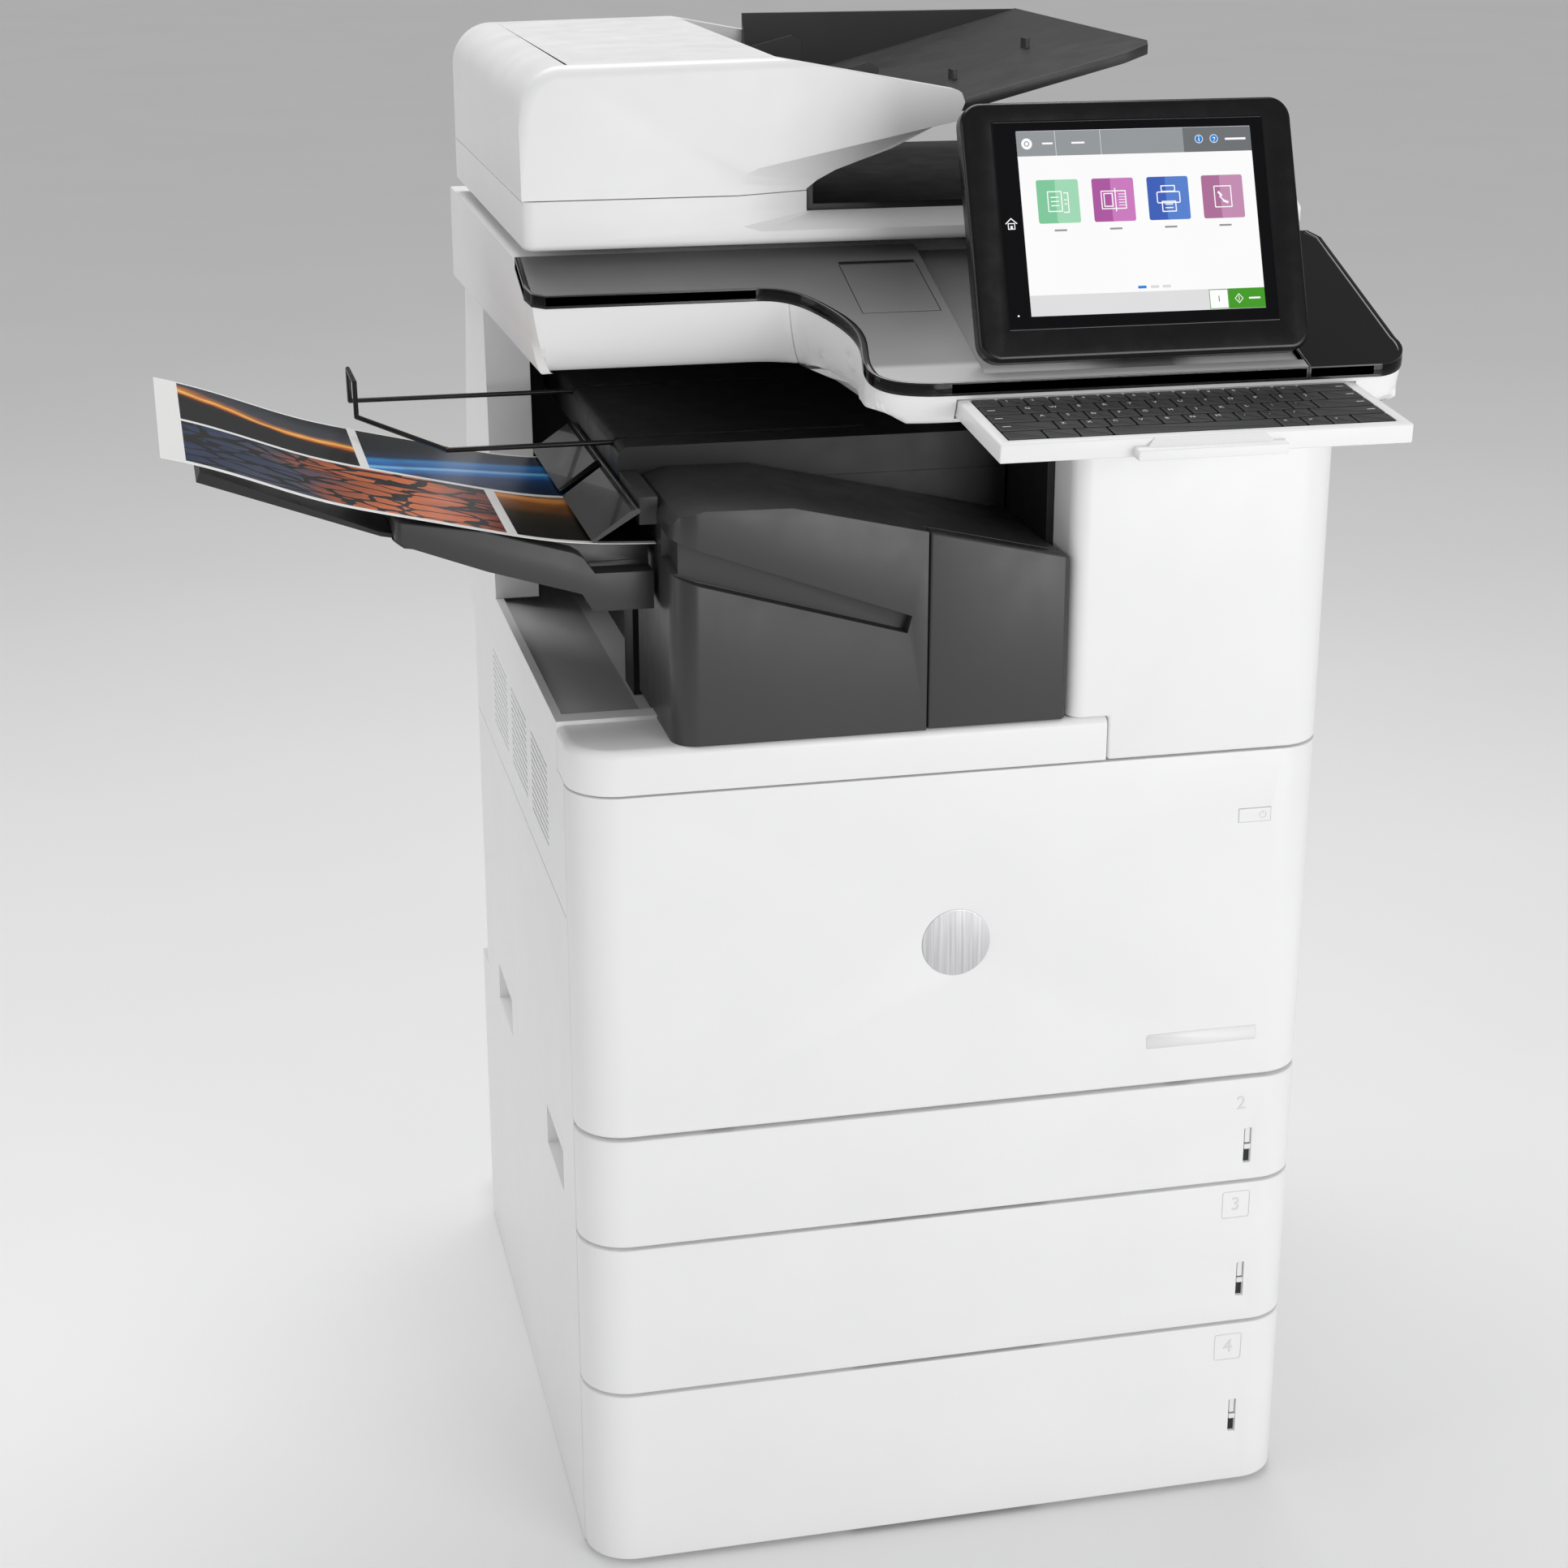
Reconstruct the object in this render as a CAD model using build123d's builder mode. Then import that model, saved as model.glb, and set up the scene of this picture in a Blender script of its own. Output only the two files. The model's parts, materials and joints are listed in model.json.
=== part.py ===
from build123d import *
from math import atan, cos, degrees, radians, sin
import os

os.makedirs("parts", exist_ok=True)

# ---------------------------------------------------------------- driving sizes
body_width = 600
body_depth = 660
corner_radius = 38
fascia_depth = 42
wall = 16
fit = 0.6
seam = 3
tray_4_top = 158
tray_3_top = 290
tray_2_top = 385
door_top = 668
trim_height = 35
bay_height = 298
pod_reach = 57
deck_angle = 18
panel_angle = 21.8
keyboard_angle = 5.1
key_pitch = 19
tray_travel_room = 0.5

# ---------------------------------------------------------------- tied sizes
half = body_width / 2
front_y = -body_depth / 2
carcass_front = fascia_depth + 0.8
cabinet_rear = body_depth - 20
engine_rear = body_depth - 60
inner = half - wall
trim_top = door_top + trim_height
base_bottom = door_top + bay_height
pod_bottom = base_bottom - 17.5
deck_front_z = base_bottom + 13
glass_z = base_bottom + 78
lid_bottom = glass_z + 9
adf_seam = lid_bottom + 37
adf_top = adf_seam + 99
column_left = half - 216
scan_half = half + 10
scan_rear = body_depth - 85
finisher_left = -half + 78
finisher_split = -28.7
bin_top = door_top + 230
tray_edge = finisher_left - 4


def block(x0, x1, d0, d1, z0, z1, mode=Mode.ADD):
    """Box between two corners; d runs back from the front face."""
    middle = ((x0 + x1) / 2, front_y + (d0 + d1) / 2, (z0 + z1) / 2)
    with Locations(middle):
        return Box(x1 - x0, d1 - d0, z1 - z0, mode=mode)


def rod_y(x, z, d0, d1, radius, mode=Mode.ADD):
    """Round bar along the depth of the machine."""
    with Locations(Plane((x, front_y + (d0 + d1) / 2, z), z_dir=(0, 1, 0))):
        return Cylinder(radius, d1 - d0, mode=mode)


def rod_x(d, z, x0, x1, radius, mode=Mode.ADD):
    """Round bar across the width of the machine."""
    with Locations(Plane(((x0 + x1) / 2, front_y + d, z), z_dir=(1, 0, 0))):
        return Cylinder(radius, x1 - x0, mode=mode)


def front_plane(d):
    return Plane(origin=(0, front_y + d, 0), x_dir=(1, 0, 0), z_dir=(0, -1, 0))


def side_plane(x):
    return Plane(origin=(x, front_y, 0), x_dir=(0, 1, 0), z_dir=(1, 0, 0))


def top_plane(z):
    return Plane(origin=(0, front_y, z), x_dir=(1, 0, 0), z_dir=(0, 0, 1))


def save(part, name):
    part.label = name
    export_step(part, f"parts/{name}.step")


# ---------------------------------------------------------------- lower cabinet
bin_4 = (18.5, tray_4_top - 12)
bin_3 = (tray_4_top + 6.5, tray_3_top - 14)
bin_2 = (tray_3_top + 8.5, tray_2_top - 13)

with BuildPart() as cabinet:
    block(-half, half, carcass_front, cabinet_rear, 0, tray_3_top)
    block(-inner, inner, carcass_front - 1, cabinet_rear - 30, bin_4[0] - tray_travel_room, tray_4_top - 8,
          Mode.SUBTRACT)
    block(-inner, inner, carcass_front - 1, cabinet_rear - 30, bin_3[0] - tray_travel_room, tray_3_top - 10,
          Mode.SUBTRACT)
    block(-half + 12, half - 12, cabinet_rear, cabinet_rear + 75, 0, 66)
    fillet(cabinet.edges().filter_by(Axis.Z).group_by(Axis.Y)[-1], 12)
    block(-half + 60, half - 60, cabinet_rear + 12, cabinet_rear + 76, -1, 50, Mode.SUBTRACT)
save(cabinet.part, "cabinet")

# ---------------------------------------------------------------- upper carcass
door_hinge_z = tray_2_top + 6.5
roller_x = 244
roller_z = tray_2_top + 110
with BuildPart() as engine_frame:
    block(-half, half, carcass_front, engine_rear, tray_3_top, door_top)
    block(-inner, inner, carcass_front - 1, engine_rear - 20, bin_2[0] - tray_travel_room, tray_2_top - 9,
          Mode.SUBTRACT)
    block(-inner, inner, carcass_front - 1, engine_rear - 20, tray_2_top + 4, door_top - 18, Mode.SUBTRACT)
    for side in (-1, 1):
        for d in (152, 465):
            block(side * half - 11, side * half + 11, d - 46, d + 46, tray_3_top + 2, tray_3_top + 38,
                  Mode.SUBTRACT)
    with Locations((-half, front_y + 300, door_top - 84)):
        with GridLocations(0, 120, 1, 3):
            for row in range(12):
                with Locations((0, 0, row * 6)):
                    Box(1.6, 92, 2.4, mode=Mode.SUBTRACT)
    block(-half - 1, -half + 1, carcass_front + 6, engine_rear - 6, door_top - 113, door_top - 111.8,
          Mode.SUBTRACT)
    block(inner - 1, half + 1, 90, 500, tray_2_top + 25, door_top - 30, Mode.SUBTRACT)
    block(inner - 1, half + 1, 58, 522, tray_2_top + 13, door_top - 11, Mode.SUBTRACT)
    block(inner - 1, inner + 6.4, 58, 522, tray_2_top + 13, door_top - 11)
    block(inner - 2, half + 1, 90, 500, tray_2_top + 25, door_top - 30, Mode.SUBTRACT)
    for x in (-190, 190):
        block(x - 9.4, x + 9.4, 44, 60, tray_2_top + 3, tray_2_top + 24)
        block(x - 9.4, x + 9.4, 2, 60, tray_2_top + 17, tray_2_top + 24)
        block(x - 9.4, x + 9.4, 2, 10, door_hinge_z, tray_2_top + 24)
        rod_x(6, door_hinge_z, x - 9.4, x + 9.4, 4)
    for d in (60, 524):
        block(roller_x - 14, roller_x + 14, d, d + 6, tray_2_top + 3, roller_z + 12)
        rod_y(roller_x, roller_z, d - 1, d + 7, 4.06, Mode.SUBTRACT)
save(engine_frame.part, "engine_frame")

# ---------------------------------------------------------------- front door
with BuildPart() as front_door:
    block(-half, half, 0, fascia_depth, tray_2_top + seam / 2, door_top - seam / 2)
    fillet(front_door.edges().filter_by(Axis.Z).group_by(Axis.Y)[0], corner_radius)
    bottom_front = front_door.edges().group_by(Axis.Z)[0].group_by(Axis.Y)[0]
    fillet(bottom_front, 3)
    block(-half + 30, half - 30, 8, fascia_depth + 1, tray_2_top + 16, door_top - 12, Mode.SUBTRACT)
    for x in (-half / 3, half / 3):
        block(x - 2, x + 2, 7, 30, tray_2_top + 15, door_top - 11)
    for x in (-190, 190):
        block(x - 10, x + 10, 1.4, fascia_depth + 1, tray_2_top, tray_2_top + 27, Mode.SUBTRACT)
    block(227.7, 254.8, -1, 9, door_top - 60.8, door_top - 49.1, Mode.SUBTRACT)
    with Locations(Plane((-2, front_y, door_top - 141), z_dir=(0, -1, 0))):
        Cylinder(27.5, 2.4, mode=Mode.SUBTRACT)
save(front_door.part, "front_door")

with BuildPart() as power_button:
    block(228, 254.5, -0.3, 9, door_top - 60.5, door_top - 49.4)
    block(224, 258.5, 8.6, 10.6, door_top - 64, door_top - 46)
save(power_button.part, "power_button")

with BuildPart() as badge:
    with Locations(Plane((-2, front_y + 0.4, door_top - 141), z_dir=(0, -1, 0))):
        Cylinder(27.4, 1.6)
save(badge.part, "badge")


# ---------------------------------------------------------------- paper trays
def paper_tray(number, z0, z1, bin_span, gauge_z):
    z0 = z0 + seam / 2
    z1 = z1 - seam / 2
    with BuildPart() as tray:
        block(-half, half, 0, fascia_depth, z0, z1)
        fillet(tray.edges().filter_by(Axis.Z).group_by(Axis.Y)[0], corner_radius)
        block(-half + 30, half - 30, 10, fascia_depth + 1, z0 + 8, z1 - 8, Mode.SUBTRACT)
        block(-inner + fit, inner - fit, fascia_depth - 6, cabinet_rear - 90, bin_span[0], bin_span[1])
        block(-inner + 5, inner - 5, fascia_depth, cabinet_rear - 94, bin_span[0] + 4, bin_span[1] + 1,
              Mode.SUBTRACT)
        block(-80, 80, 3, 22, z0 - 1, z0 + 14, Mode.SUBTRACT)
        block(248.4, 254.4, -1, 3, gauge_z, gauge_z + 31, Mode.SUBTRACT)
    save(tray.part, f"tray_{number}")
    with BuildPart() as plate:
        block(-inner + 22, inner - 22, 70, cabinet_rear - 170, bin_span[0] + 4.5, bin_span[0] + 6.5)
        fillet(plate.edges().filter_by(Axis.Z), 10)
        block(-60, 60, 60, 200, bin_span[0], bin_span[0] + 9, Mode.SUBTRACT)
    save(plate.part, f"lift_plate_{number}")


paper_tray(2, tray_3_top, tray_2_top, bin_2, tray_3_top + 17)
paper_tray(3, tray_4_top, tray_3_top, bin_3, tray_4_top + 25)
paper_tray(4, 3, tray_4_top, bin_4, 52)

# ---------------------------------------------------------------- trim, bed, column
with BuildPart() as top_trim:
    block(-half, column_left + 32, 0, 74, door_top, trim_top)
    fillet(top_trim.edges().filter_by(Axis.Z).group_by(Axis.Y)[0].group_by(Axis.X)[0], corner_radius)
    fillet(top_trim.edges().group_by(Axis.Z)[-1].group_by(Axis.Y)[0], 7)
save(top_trim.part, "top_trim")

with BuildPart() as paper_bed:
    block(-half, column_left - 6, 74, engine_rear - 40, door_top, trim_top + 3)
    block(finisher_left, column_left - 5, 73, engine_rear - 39, trim_top - 17, trim_top + 4, Mode.SUBTRACT)
    with BuildSketch(front_plane(92)):
        with BuildLine():
            Polyline((-half + 7, trim_top + 4), (-half + 7, trim_top), (finisher_left, trim_top - 17),
                     (finisher_left + 1, trim_top + 4), close=True)
        make_face()
    extrude(amount=-(engine_rear - 140), mode=Mode.SUBTRACT)
save(paper_bed.part, "paper_bed")

with BuildPart() as column:
    with BuildSketch(front_plane(0)):
        with BuildLine():
            Polyline((column_left + 33, door_top), (half, door_top), (half, pod_bottom),
                     (column_left, pod_bottom), (column_left, trim_top + 0.3),
                     (column_left + 33, trim_top + 0.3), close=True)
        make_face()
    extrude(amount=-(engine_rear - 40))
    fillet(column.edges().filter_by(Axis.Z).group_by(Axis.X)[-1].group_by(Axis.Y)[0], corner_radius)
    fillet(column.edges().filter_by(Axis.Z).group_by(Axis.X)[0].group_by(Axis.Y)[0], 14)
    block(column_left + 7, half - 30, 8, engine_rear - 48, trim_top + 8, pod_bottom - 6, Mode.SUBTRACT)
    block(half - 31, half - 6, 40, engine_rear - 48, trim_top + 8, pod_bottom - 6, Mode.SUBTRACT)
save(column.part, "column")

with BuildPart() as bay_lining:
    block(column_left - 6, column_left, 74, engine_rear - 40, door_top, pod_bottom)
    block(column_left - 6, column_left, 50, 75, trim_top, pod_bottom)
    block(-half + 38, half - 6, engine_rear - 40, engine_rear - 6, door_top, pod_bottom)
    block(-half + 38, column_left - 6, engine_rear - 40, engine_rear - 6, pod_bottom - 1, base_bottom)
    with Locations((0, front_y + engine_rear - 23, door_top + 150)):
        with GridLocations(60, 0, 5, 1):
            Box(40, 40, 60, mode=Mode.SUBTRACT)
save(bay_lining.part, "bay_lining")

with BuildPart() as rear_pillar:
    with BuildSketch(side_plane(-half)):
        with BuildLine():
            Polyline((engine_rear - 40, door_top), (engine_rear + 50, door_top),
                     (engine_rear - 26, base_bottom), (448, base_bottom), (430, trim_top + 3),
                     (engine_rear - 40, trim_top + 3), close=True)
        make_face()
    extrude(amount=38)
save(rear_pillar.part, "rear_pillar")

# ---------------------------------------------------------------- rear of the machine
with BuildPart() as rear_cover:
    block(-half + 6, half - 6, engine_rear, engine_rear + 10, tray_3_top + 2, door_top)
    block(-half + 10, half - 40, engine_rear + 9, engine_rear + 72, tray_3_top + 1, 457)
    fillet(rear_cover.edges().group_by(Axis.Y)[-1], 10)
    block(-half + 16, half - 46, engine_rear + 4, engine_rear + 67, tray_3_top + 7, 451, Mode.SUBTRACT)
    block(-half + 6, 0, engine_rear + 10, engine_rear + 78, door_top - 34, door_top)
    with Locations((90, front_y + engine_rear + 5, 560)):
        with GridLocations(0, 0, 1, 1):
            for row in range(10):
                with Locations((0, 0, row * 9 - 40)):
                    Box(160, 20, 4, mode=Mode.SUBTRACT)
save(rear_cover.part, "rear_cover")

with BuildPart() as power_inlet:
    block(190, 240, cabinet_rear, cabinet_rear + 6, 96, 132)
    block(197, 233, cabinet_rear + 1, cabinet_rear + 7, 101, 127, Mode.SUBTRACT)
    with Locations((215, front_y + cabinet_rear + 3, 114)):
        with GridLocations(10, 0, 3, 1):
            Box(2, 5, 6)
save(power_inlet.part, "power_inlet")

# ---------------------------------------------------------------- inside the engine bay
with BuildPart() as laser_unit:
    block(-240, 200, 90, 520, tray_2_top + 4, tray_2_top + 55)
    fillet(laser_unit.edges().filter_by(Axis.Z), 8)
save(laser_unit.part, "laser_unit")

with BuildPart() as toner_cartridges:
    for x in (-190, -82, 26, 134):
        block(x - 42, x + 42, 56, 500, tray_2_top + 55, tray_2_top + 130)
        block(x - 16, x + 16, 50, 60, tray_2_top + 78, tray_2_top + 90)
save(toner_cartridges.part, "toner_cartridges")

with BuildPart() as transfer_belt:
    block(-236, 176, 80, 510, tray_2_top + 160, tray_2_top + 196)
    fillet(transfer_belt.edges().filter_by(Axis.Y), 16)
    for d in (80, 500):
        block(-200, 140, d, d + 10, tray_2_top + 130, tray_2_top + 170)
save(transfer_belt.part, "transfer_belt")

with BuildPart() as feed_roller:
    rod_y(roller_x, roller_z, 58, 532, 4)
    rod_y(roller_x, roller_z, 70, 520, 10)
save(feed_roller.part, "feed_roller")

fuser_x = column_left + 111
fuser_z = trim_top + 52
with BuildPart() as fuser_frame:
    block(fuser_x - 55, fuser_x + 55, 80, 500, trim_top + 8, trim_top + 16)
    for d in (80, 492):
        block(fuser_x - 45, fuser_x + 45, d, d + 8, trim_top + 15, trim_top + 120)
        rod_y(fuser_x, fuser_z, d - 1, d + 9, 5.06, Mode.SUBTRACT)
        rod_y(fuser_x, fuser_z + 40.4, d - 1, d + 9, 5.06, Mode.SUBTRACT)
save(fuser_frame.part, "fuser_frame")

for name, z in (("pressure_roller", fuser_z), ("fuser_roller", fuser_z + 40.4)):
    with BuildPart() as roller:
        rod_y(fuser_x, z, 76, 504, 5)
        rod_y(fuser_x, z, 92, 488, 20)
    save(roller.part, name)

# ---------------------------------------------------------------- jam door on the right side
with BuildPart() as side_door:
    block(half - 9, half, 60, 520, tray_2_top + 15, door_top - 13)
    fillet(side_door.edges().filter_by(Axis.X), 8)
    block(half - 6, half + 1, 120, 440, tray_2_top + 40, door_top - 70, Mode.SUBTRACT)
    block(half - 10, half, 240, 320, door_top - 50, door_top - 34, Mode.SUBTRACT)
save(side_door.part, "side_door")

with BuildPart() as bypass_tray:
    block(half - 5.4, half - 0.4, 120.6, 439.4, tray_2_top + 40.6, door_top - 70.6)
    fillet(bypass_tray.edges().filter_by(Axis.Y).group_by(Axis.Z)[0], 2.4)
save(bypass_tray.part, "bypass_tray")

# ---------------------------------------------------------------- finisher
slope = 24 / 105
crest_z = trim_top + 178


def crest(x):
    """Height of the sloping finisher top at a given x."""
    return crest_z - max(0, x + 132) * slope


with BuildPart() as finisher_shell:
    with BuildSketch(front_plane(0)):
        with BuildLine():
            Polyline((finisher_left, trim_top), (column_left - 7, trim_top),
                     (column_left - 7, crest(column_left - 7)), (-132, crest_z), (finisher_left + 24, crest_z + 1),
                     (finisher_left + 6, crest_z - 4), (finisher_left, crest_z - 12), close=True)
        make_face()
    extrude(amount=-150)
    left_front = finisher_shell.edges().filter_by(Axis.Z).group_by(Axis.Y)[0].sort_by(Axis.X)[0]
    fillet(left_front, 20)
    block(finisher_split, column_left, -1, 18.9, trim_top - 1, crest_z + 2, Mode.SUBTRACT)
    block(finisher_left + 12, finisher_split - 6, 24, 151, trim_top + 10, trim_top + 128, Mode.SUBTRACT)
    block(finisher_split + 6, column_left - 16, 18, 130, trim_top + 10, trim_top + 115, Mode.SUBTRACT)
    with BuildSketch(front_plane(-2)):
        with BuildLine():
            Polyline((-232, trim_top + 161), (-209, trim_top + 152), (-41, trim_top + 90.5),
                     (-44.5, trim_top + 77.5), (-202, trim_top + 123), (-232, trim_top + 134), close=True)
        make_face()
    extrude(amount=-14, mode=Mode.SUBTRACT)
    with BuildSketch(side_plane(finisher_left - 2)):
        with BuildLine():
            Polyline((10, trim_top + 156), (44, trim_top + 158), (44, trim_top + 136), (10, trim_top + 130),
                     close=True)
        make_face()
    extrude(amount=8, mode=Mode.SUBTRACT)
    block(finisher_left - 13, finisher_left + 1, 62, 150, crest_z - 22, crest_z - 1)
save(finisher_shell.part, "finisher_shell")

with BuildPart() as finisher_door:
    with BuildSketch(front_plane(0)):
        with BuildLine():
            Polyline((finisher_split + 1.2, trim_top + 0.5), (column_left - 2, trim_top + 0.5),
                     (column_left - 2, crest(column_left - 2)), (finisher_split + 1.2, crest(finisher_split + 1)),
                     close=True)
        make_face()
    extrude(amount=-18)
    fillet(finisher_door.edges().filter_by(Axis.Z).group_by(Axis.Y)[0].sort_by(Axis.X)[-1], 5)
    block(finisher_split + 8, column_left - 9, 5, 19, trim_top + 8, trim_top + 118, Mode.SUBTRACT)
save(finisher_door.part, "finisher_door")

with BuildPart() as stapler:
    block(0, 44, 34, 130, trim_top + 10, trim_top + 40)
    block(4, 40, 30, 120, trim_top + 39, trim_top + 78)
    fillet(stapler.edges().filter_by(Axis.X).group_by(Axis.Z)[-1], 8)
save(stapler.part, "stapler")

exit_x = finisher_left + 24
exit_z = bin_top - 22
with BuildPart() as finisher_body:
    block(finisher_left + 22, column_left - 8, 152, engine_rear - 42, trim_top - 17, bin_top - 30)
    block(finisher_left + 2, finisher_left + 23, 190, 230, trim_top - 17, bin_top - 30)
    block(finisher_left + 21, finisher_left + 80, 180, 240, trim_top + 20, trim_top + 150, Mode.SUBTRACT)
    block(exit_x - 13, exit_x + 13, 164, 436, trim_top + 128, bin_top - 29, Mode.SUBTRACT)
save(finisher_body.part, "finisher_body")

with BuildPart() as upper_bin:
    block(finisher_left - 13, column_left - 8, 152, engine_rear - 42, bin_top - 30, bin_top)
    fillet(upper_bin.edges().filter_by(Axis.Y).group_by(Axis.X)[0].group_by(Axis.Z)[-1], 8)
    for d in (187, 391):
        block(finisher_left - 14, -30, d - 3.2, d + 3.2, bin_top - 6, bin_top + 1, Mode.SUBTRACT)
    block(finisher_left + 8, finisher_left + 40, 166, 434, bin_top - 31, bin_top - 10, Mode.SUBTRACT)
    for d in (170, 426):
        block(exit_x - 7, exit_x + 7, d, d + 4, bin_top - 30, bin_top - 9)
        rod_y(exit_x, exit_z, d - 1, d + 5, 3.06, Mode.SUBTRACT)
save(upper_bin.part, "upper_bin")

with BuildPart() as exit_roller:
    rod_y(exit_x, exit_z, 168, 432, 3)
    for d in (200, 260, 320, 380):
        rod_y(exit_x, exit_z, d, d + 24, 9)
save(exit_roller.part, "exit_roller")

wire_end = -half - 120
with BuildPart() as wire_support:
    with BuildLine() as wire_path:
        Polyline((-150, front_y + 391, bin_top - 3.4), (wire_end, front_y + 391, bin_top - 3.4),
                 (wire_end, front_y + 398, bin_top + 22), (wire_end, front_y + 331, bin_top + 24),
                 (wire_end, front_y + 325, bin_top - 3.4), (-half - 62, front_y + 187, bin_top - 3.4),
                 (-150, front_y + 187, bin_top - 3.4))
    with BuildSketch(Plane(wire_path.line @ 0, z_dir=wire_path.line % 0)):
        Circle(2)
    sweep(path=wire_path.line, transition=Transition.ROUND)
save(wire_support.part, "wire_support")

# ---------------------------------------------------------------- output tray
tray_points = [(tray_edge - 190, trim_top + 168), (tray_edge - 124, trim_top + 156.5),
               (tray_edge - 64, trim_top + 144), (tray_edge, trim_top + 141.3)]
rail_points = [(tray_edge - 190, trim_top + 169), (tray_edge - 124, trim_top + 157.5),
               (tray_edge - 60, trim_top + 139), (tray_edge - 53, trim_top + 135),
               (tray_edge - 44, trim_top + 122.4), (tray_edge, trim_top + 122), (tray_edge, trim_top + 93),
               (tray_edge - 46, trim_top + 93), (tray_edge - 54, trim_top + 107), (tray_edge - 60, trim_top + 109),
               (tray_edge - 124, trim_top + 128.6), (tray_edge - 181, trim_top + 150),
               (tray_edge - 190, trim_top + 156)]
with BuildPart() as output_tray:
    with BuildSketch(front_plane(58)):
        with BuildLine():
            Polyline(*tray_points, (tray_edge, trim_top + 121), (tray_edge - 52, trim_top + 124),
                     (tray_edge - 182, trim_top + 144), (tray_edge - 190, trim_top + 150), close=True)
        make_face()
    extrude(amount=-302)
    block(tray_edge - 191, tray_edge + 1, 57, 78, trim_top + 90, trim_top + 172, Mode.SUBTRACT)
    with BuildSketch(front_plane(56)):
        with BuildLine():
            Polyline(*rail_points, close=True)
        make_face()
    extrude(amount=-22)
    fillet(output_tray.edges().filter_by(Axis.Z).group_by(Axis.X)[0], 5)
    with BuildSketch(front_plane(80)):
        with BuildLine():
            Polyline((tray_edge - 200, trim_top + 157.4), (tray_edge - 200, trim_top + 152.2),
                     (tray_edge - 98, trim_top + 132.4), (tray_edge - 98, trim_top + 137.6), close=True)
        make_face()
    extrude(amount=-258, mode=Mode.SUBTRACT)
    block(tray_edge - 46, tray_edge, 77, 104, trim_top + 94, trim_top + 126)
    block(tray_edge - 46, tray_edge - 6, 240, 300, trim_top + 94, trim_top + 126)
    block(tray_edge - 1, tray_edge + 5.5, 193, 227, trim_top + 100, trim_top + 140)
save(output_tray.part, "output_tray")

slide_slope = atan(19.8 / 102)
with BuildPart() as tray_extension:
    with BuildSketch(front_plane(84)):
        with BuildLine():
            Polyline((tray_edge - 112, trim_top + 139.5), (tray_edge - 200, trim_top + 156.5),
                     (tray_edge - 325, trim_top + 208), (tray_edge - 328, trim_top + 200),
                     (tray_edge - 198, trim_top + 152.6), (tray_edge - 112, trim_top + 136), close=True)
        make_face()
    extrude(amount=-250)
    block(tray_edge - 310, tray_edge - 215, 150, 270, trim_top + 100, trim_top + 240, Mode.SUBTRACT)
save(tray_extension.part, "tray_extension")

sheet_points = [(tray_edge - 352, trim_top + 225), (tray_edge - 296, trim_top + 207.5),
                (tray_edge - 240, trim_top + 187), (tray_edge - 182, trim_top + 172),
                (tray_edge - 124, trim_top + 158.5), (tray_edge - 64, trim_top + 146.6),
                (tray_edge - 24, trim_top + 143.2), (tray_edge + 3, trim_top + 142)]
with BuildPart() as printed_sheet:
    with BuildSketch(front_plane(60)):
        with BuildLine():
            top_curve = Spline(*[(x, z - 703 + trim_top) for x, z in sheet_points])
            lower_curve = Spline(*[(x, z - 703.5 + trim_top) for x, z in sheet_points])
            Line(top_curve @ 0, lower_curve @ 0)
            Line(top_curve @ 1, lower_curve @ 1)
        make_face()
    extrude(amount=-297)
save(printed_sheet.part, "printed_sheet")

flap_x = finisher_left - 15.6
flap_z = bin_top - 26
with BuildPart() as paper_flaps:
    for d in (52, 220):
        with BuildSketch(front_plane(d)):
            with BuildLine():
                Polyline((flap_x + 1.2, flap_z - 1.4), (flap_x + 1, flap_z + 1.4), (flap_x - 5, flap_z + 0.6),
                         (flap_x - 35, flap_z - 20.5), (flap_x - 33.5, flap_z - 22.5), close=True)
            make_face()
        extrude(amount=-145)
    rod_y(flap_x, flap_z, 52, 365, 1.9)
save(paper_flaps.part, "paper_flaps")

# ---------------------------------------------------------------- scanner base and control deck
deck_slope = radians(deck_angle)
deck_plane = Plane(origin=(0, front_y - pod_reach - 3, deck_front_z), x_dir=(1, 0, 0),
                   z_dir=(0, -sin(deck_slope), cos(deck_slope)))
kb_slope = radians(keyboard_angle)
kb_plane = Plane(origin=(126, front_y - 160, base_bottom - 8.5), x_dir=(1, 0, 0),
                 z_dir=(0, -sin(kb_slope), cos(kb_slope)))
kb_half = 151


def deck_outline(inset):
    """Plan outline of the scanner base and control pod."""
    left = -scan_half + inset
    right = scan_half - inset
    front = -pod_reach + inset
    with BuildLine() as outline:
        Polyline((left, scan_rear), (left, 102), (left + 4, 92 + inset), (left + 14, 88 + inset),
                 (-140, 88 + inset))
        Spline((-140, 88 + inset), (-97 + inset, 62), (-80 + inset, 10), (-30, front),
               tangents=((1, 0), (1, 0)))
        Line((-30, front), (right - 20, front))
        ThreePointArc((right - 20, front), (right + 4, front + 9), (right + 12, front + 36))
        Polyline((right + 12, front + 36), (right + 16, 136), (right, 165), (right, scan_rear),
                 (left, scan_rear))
    return outline.edges()


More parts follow.
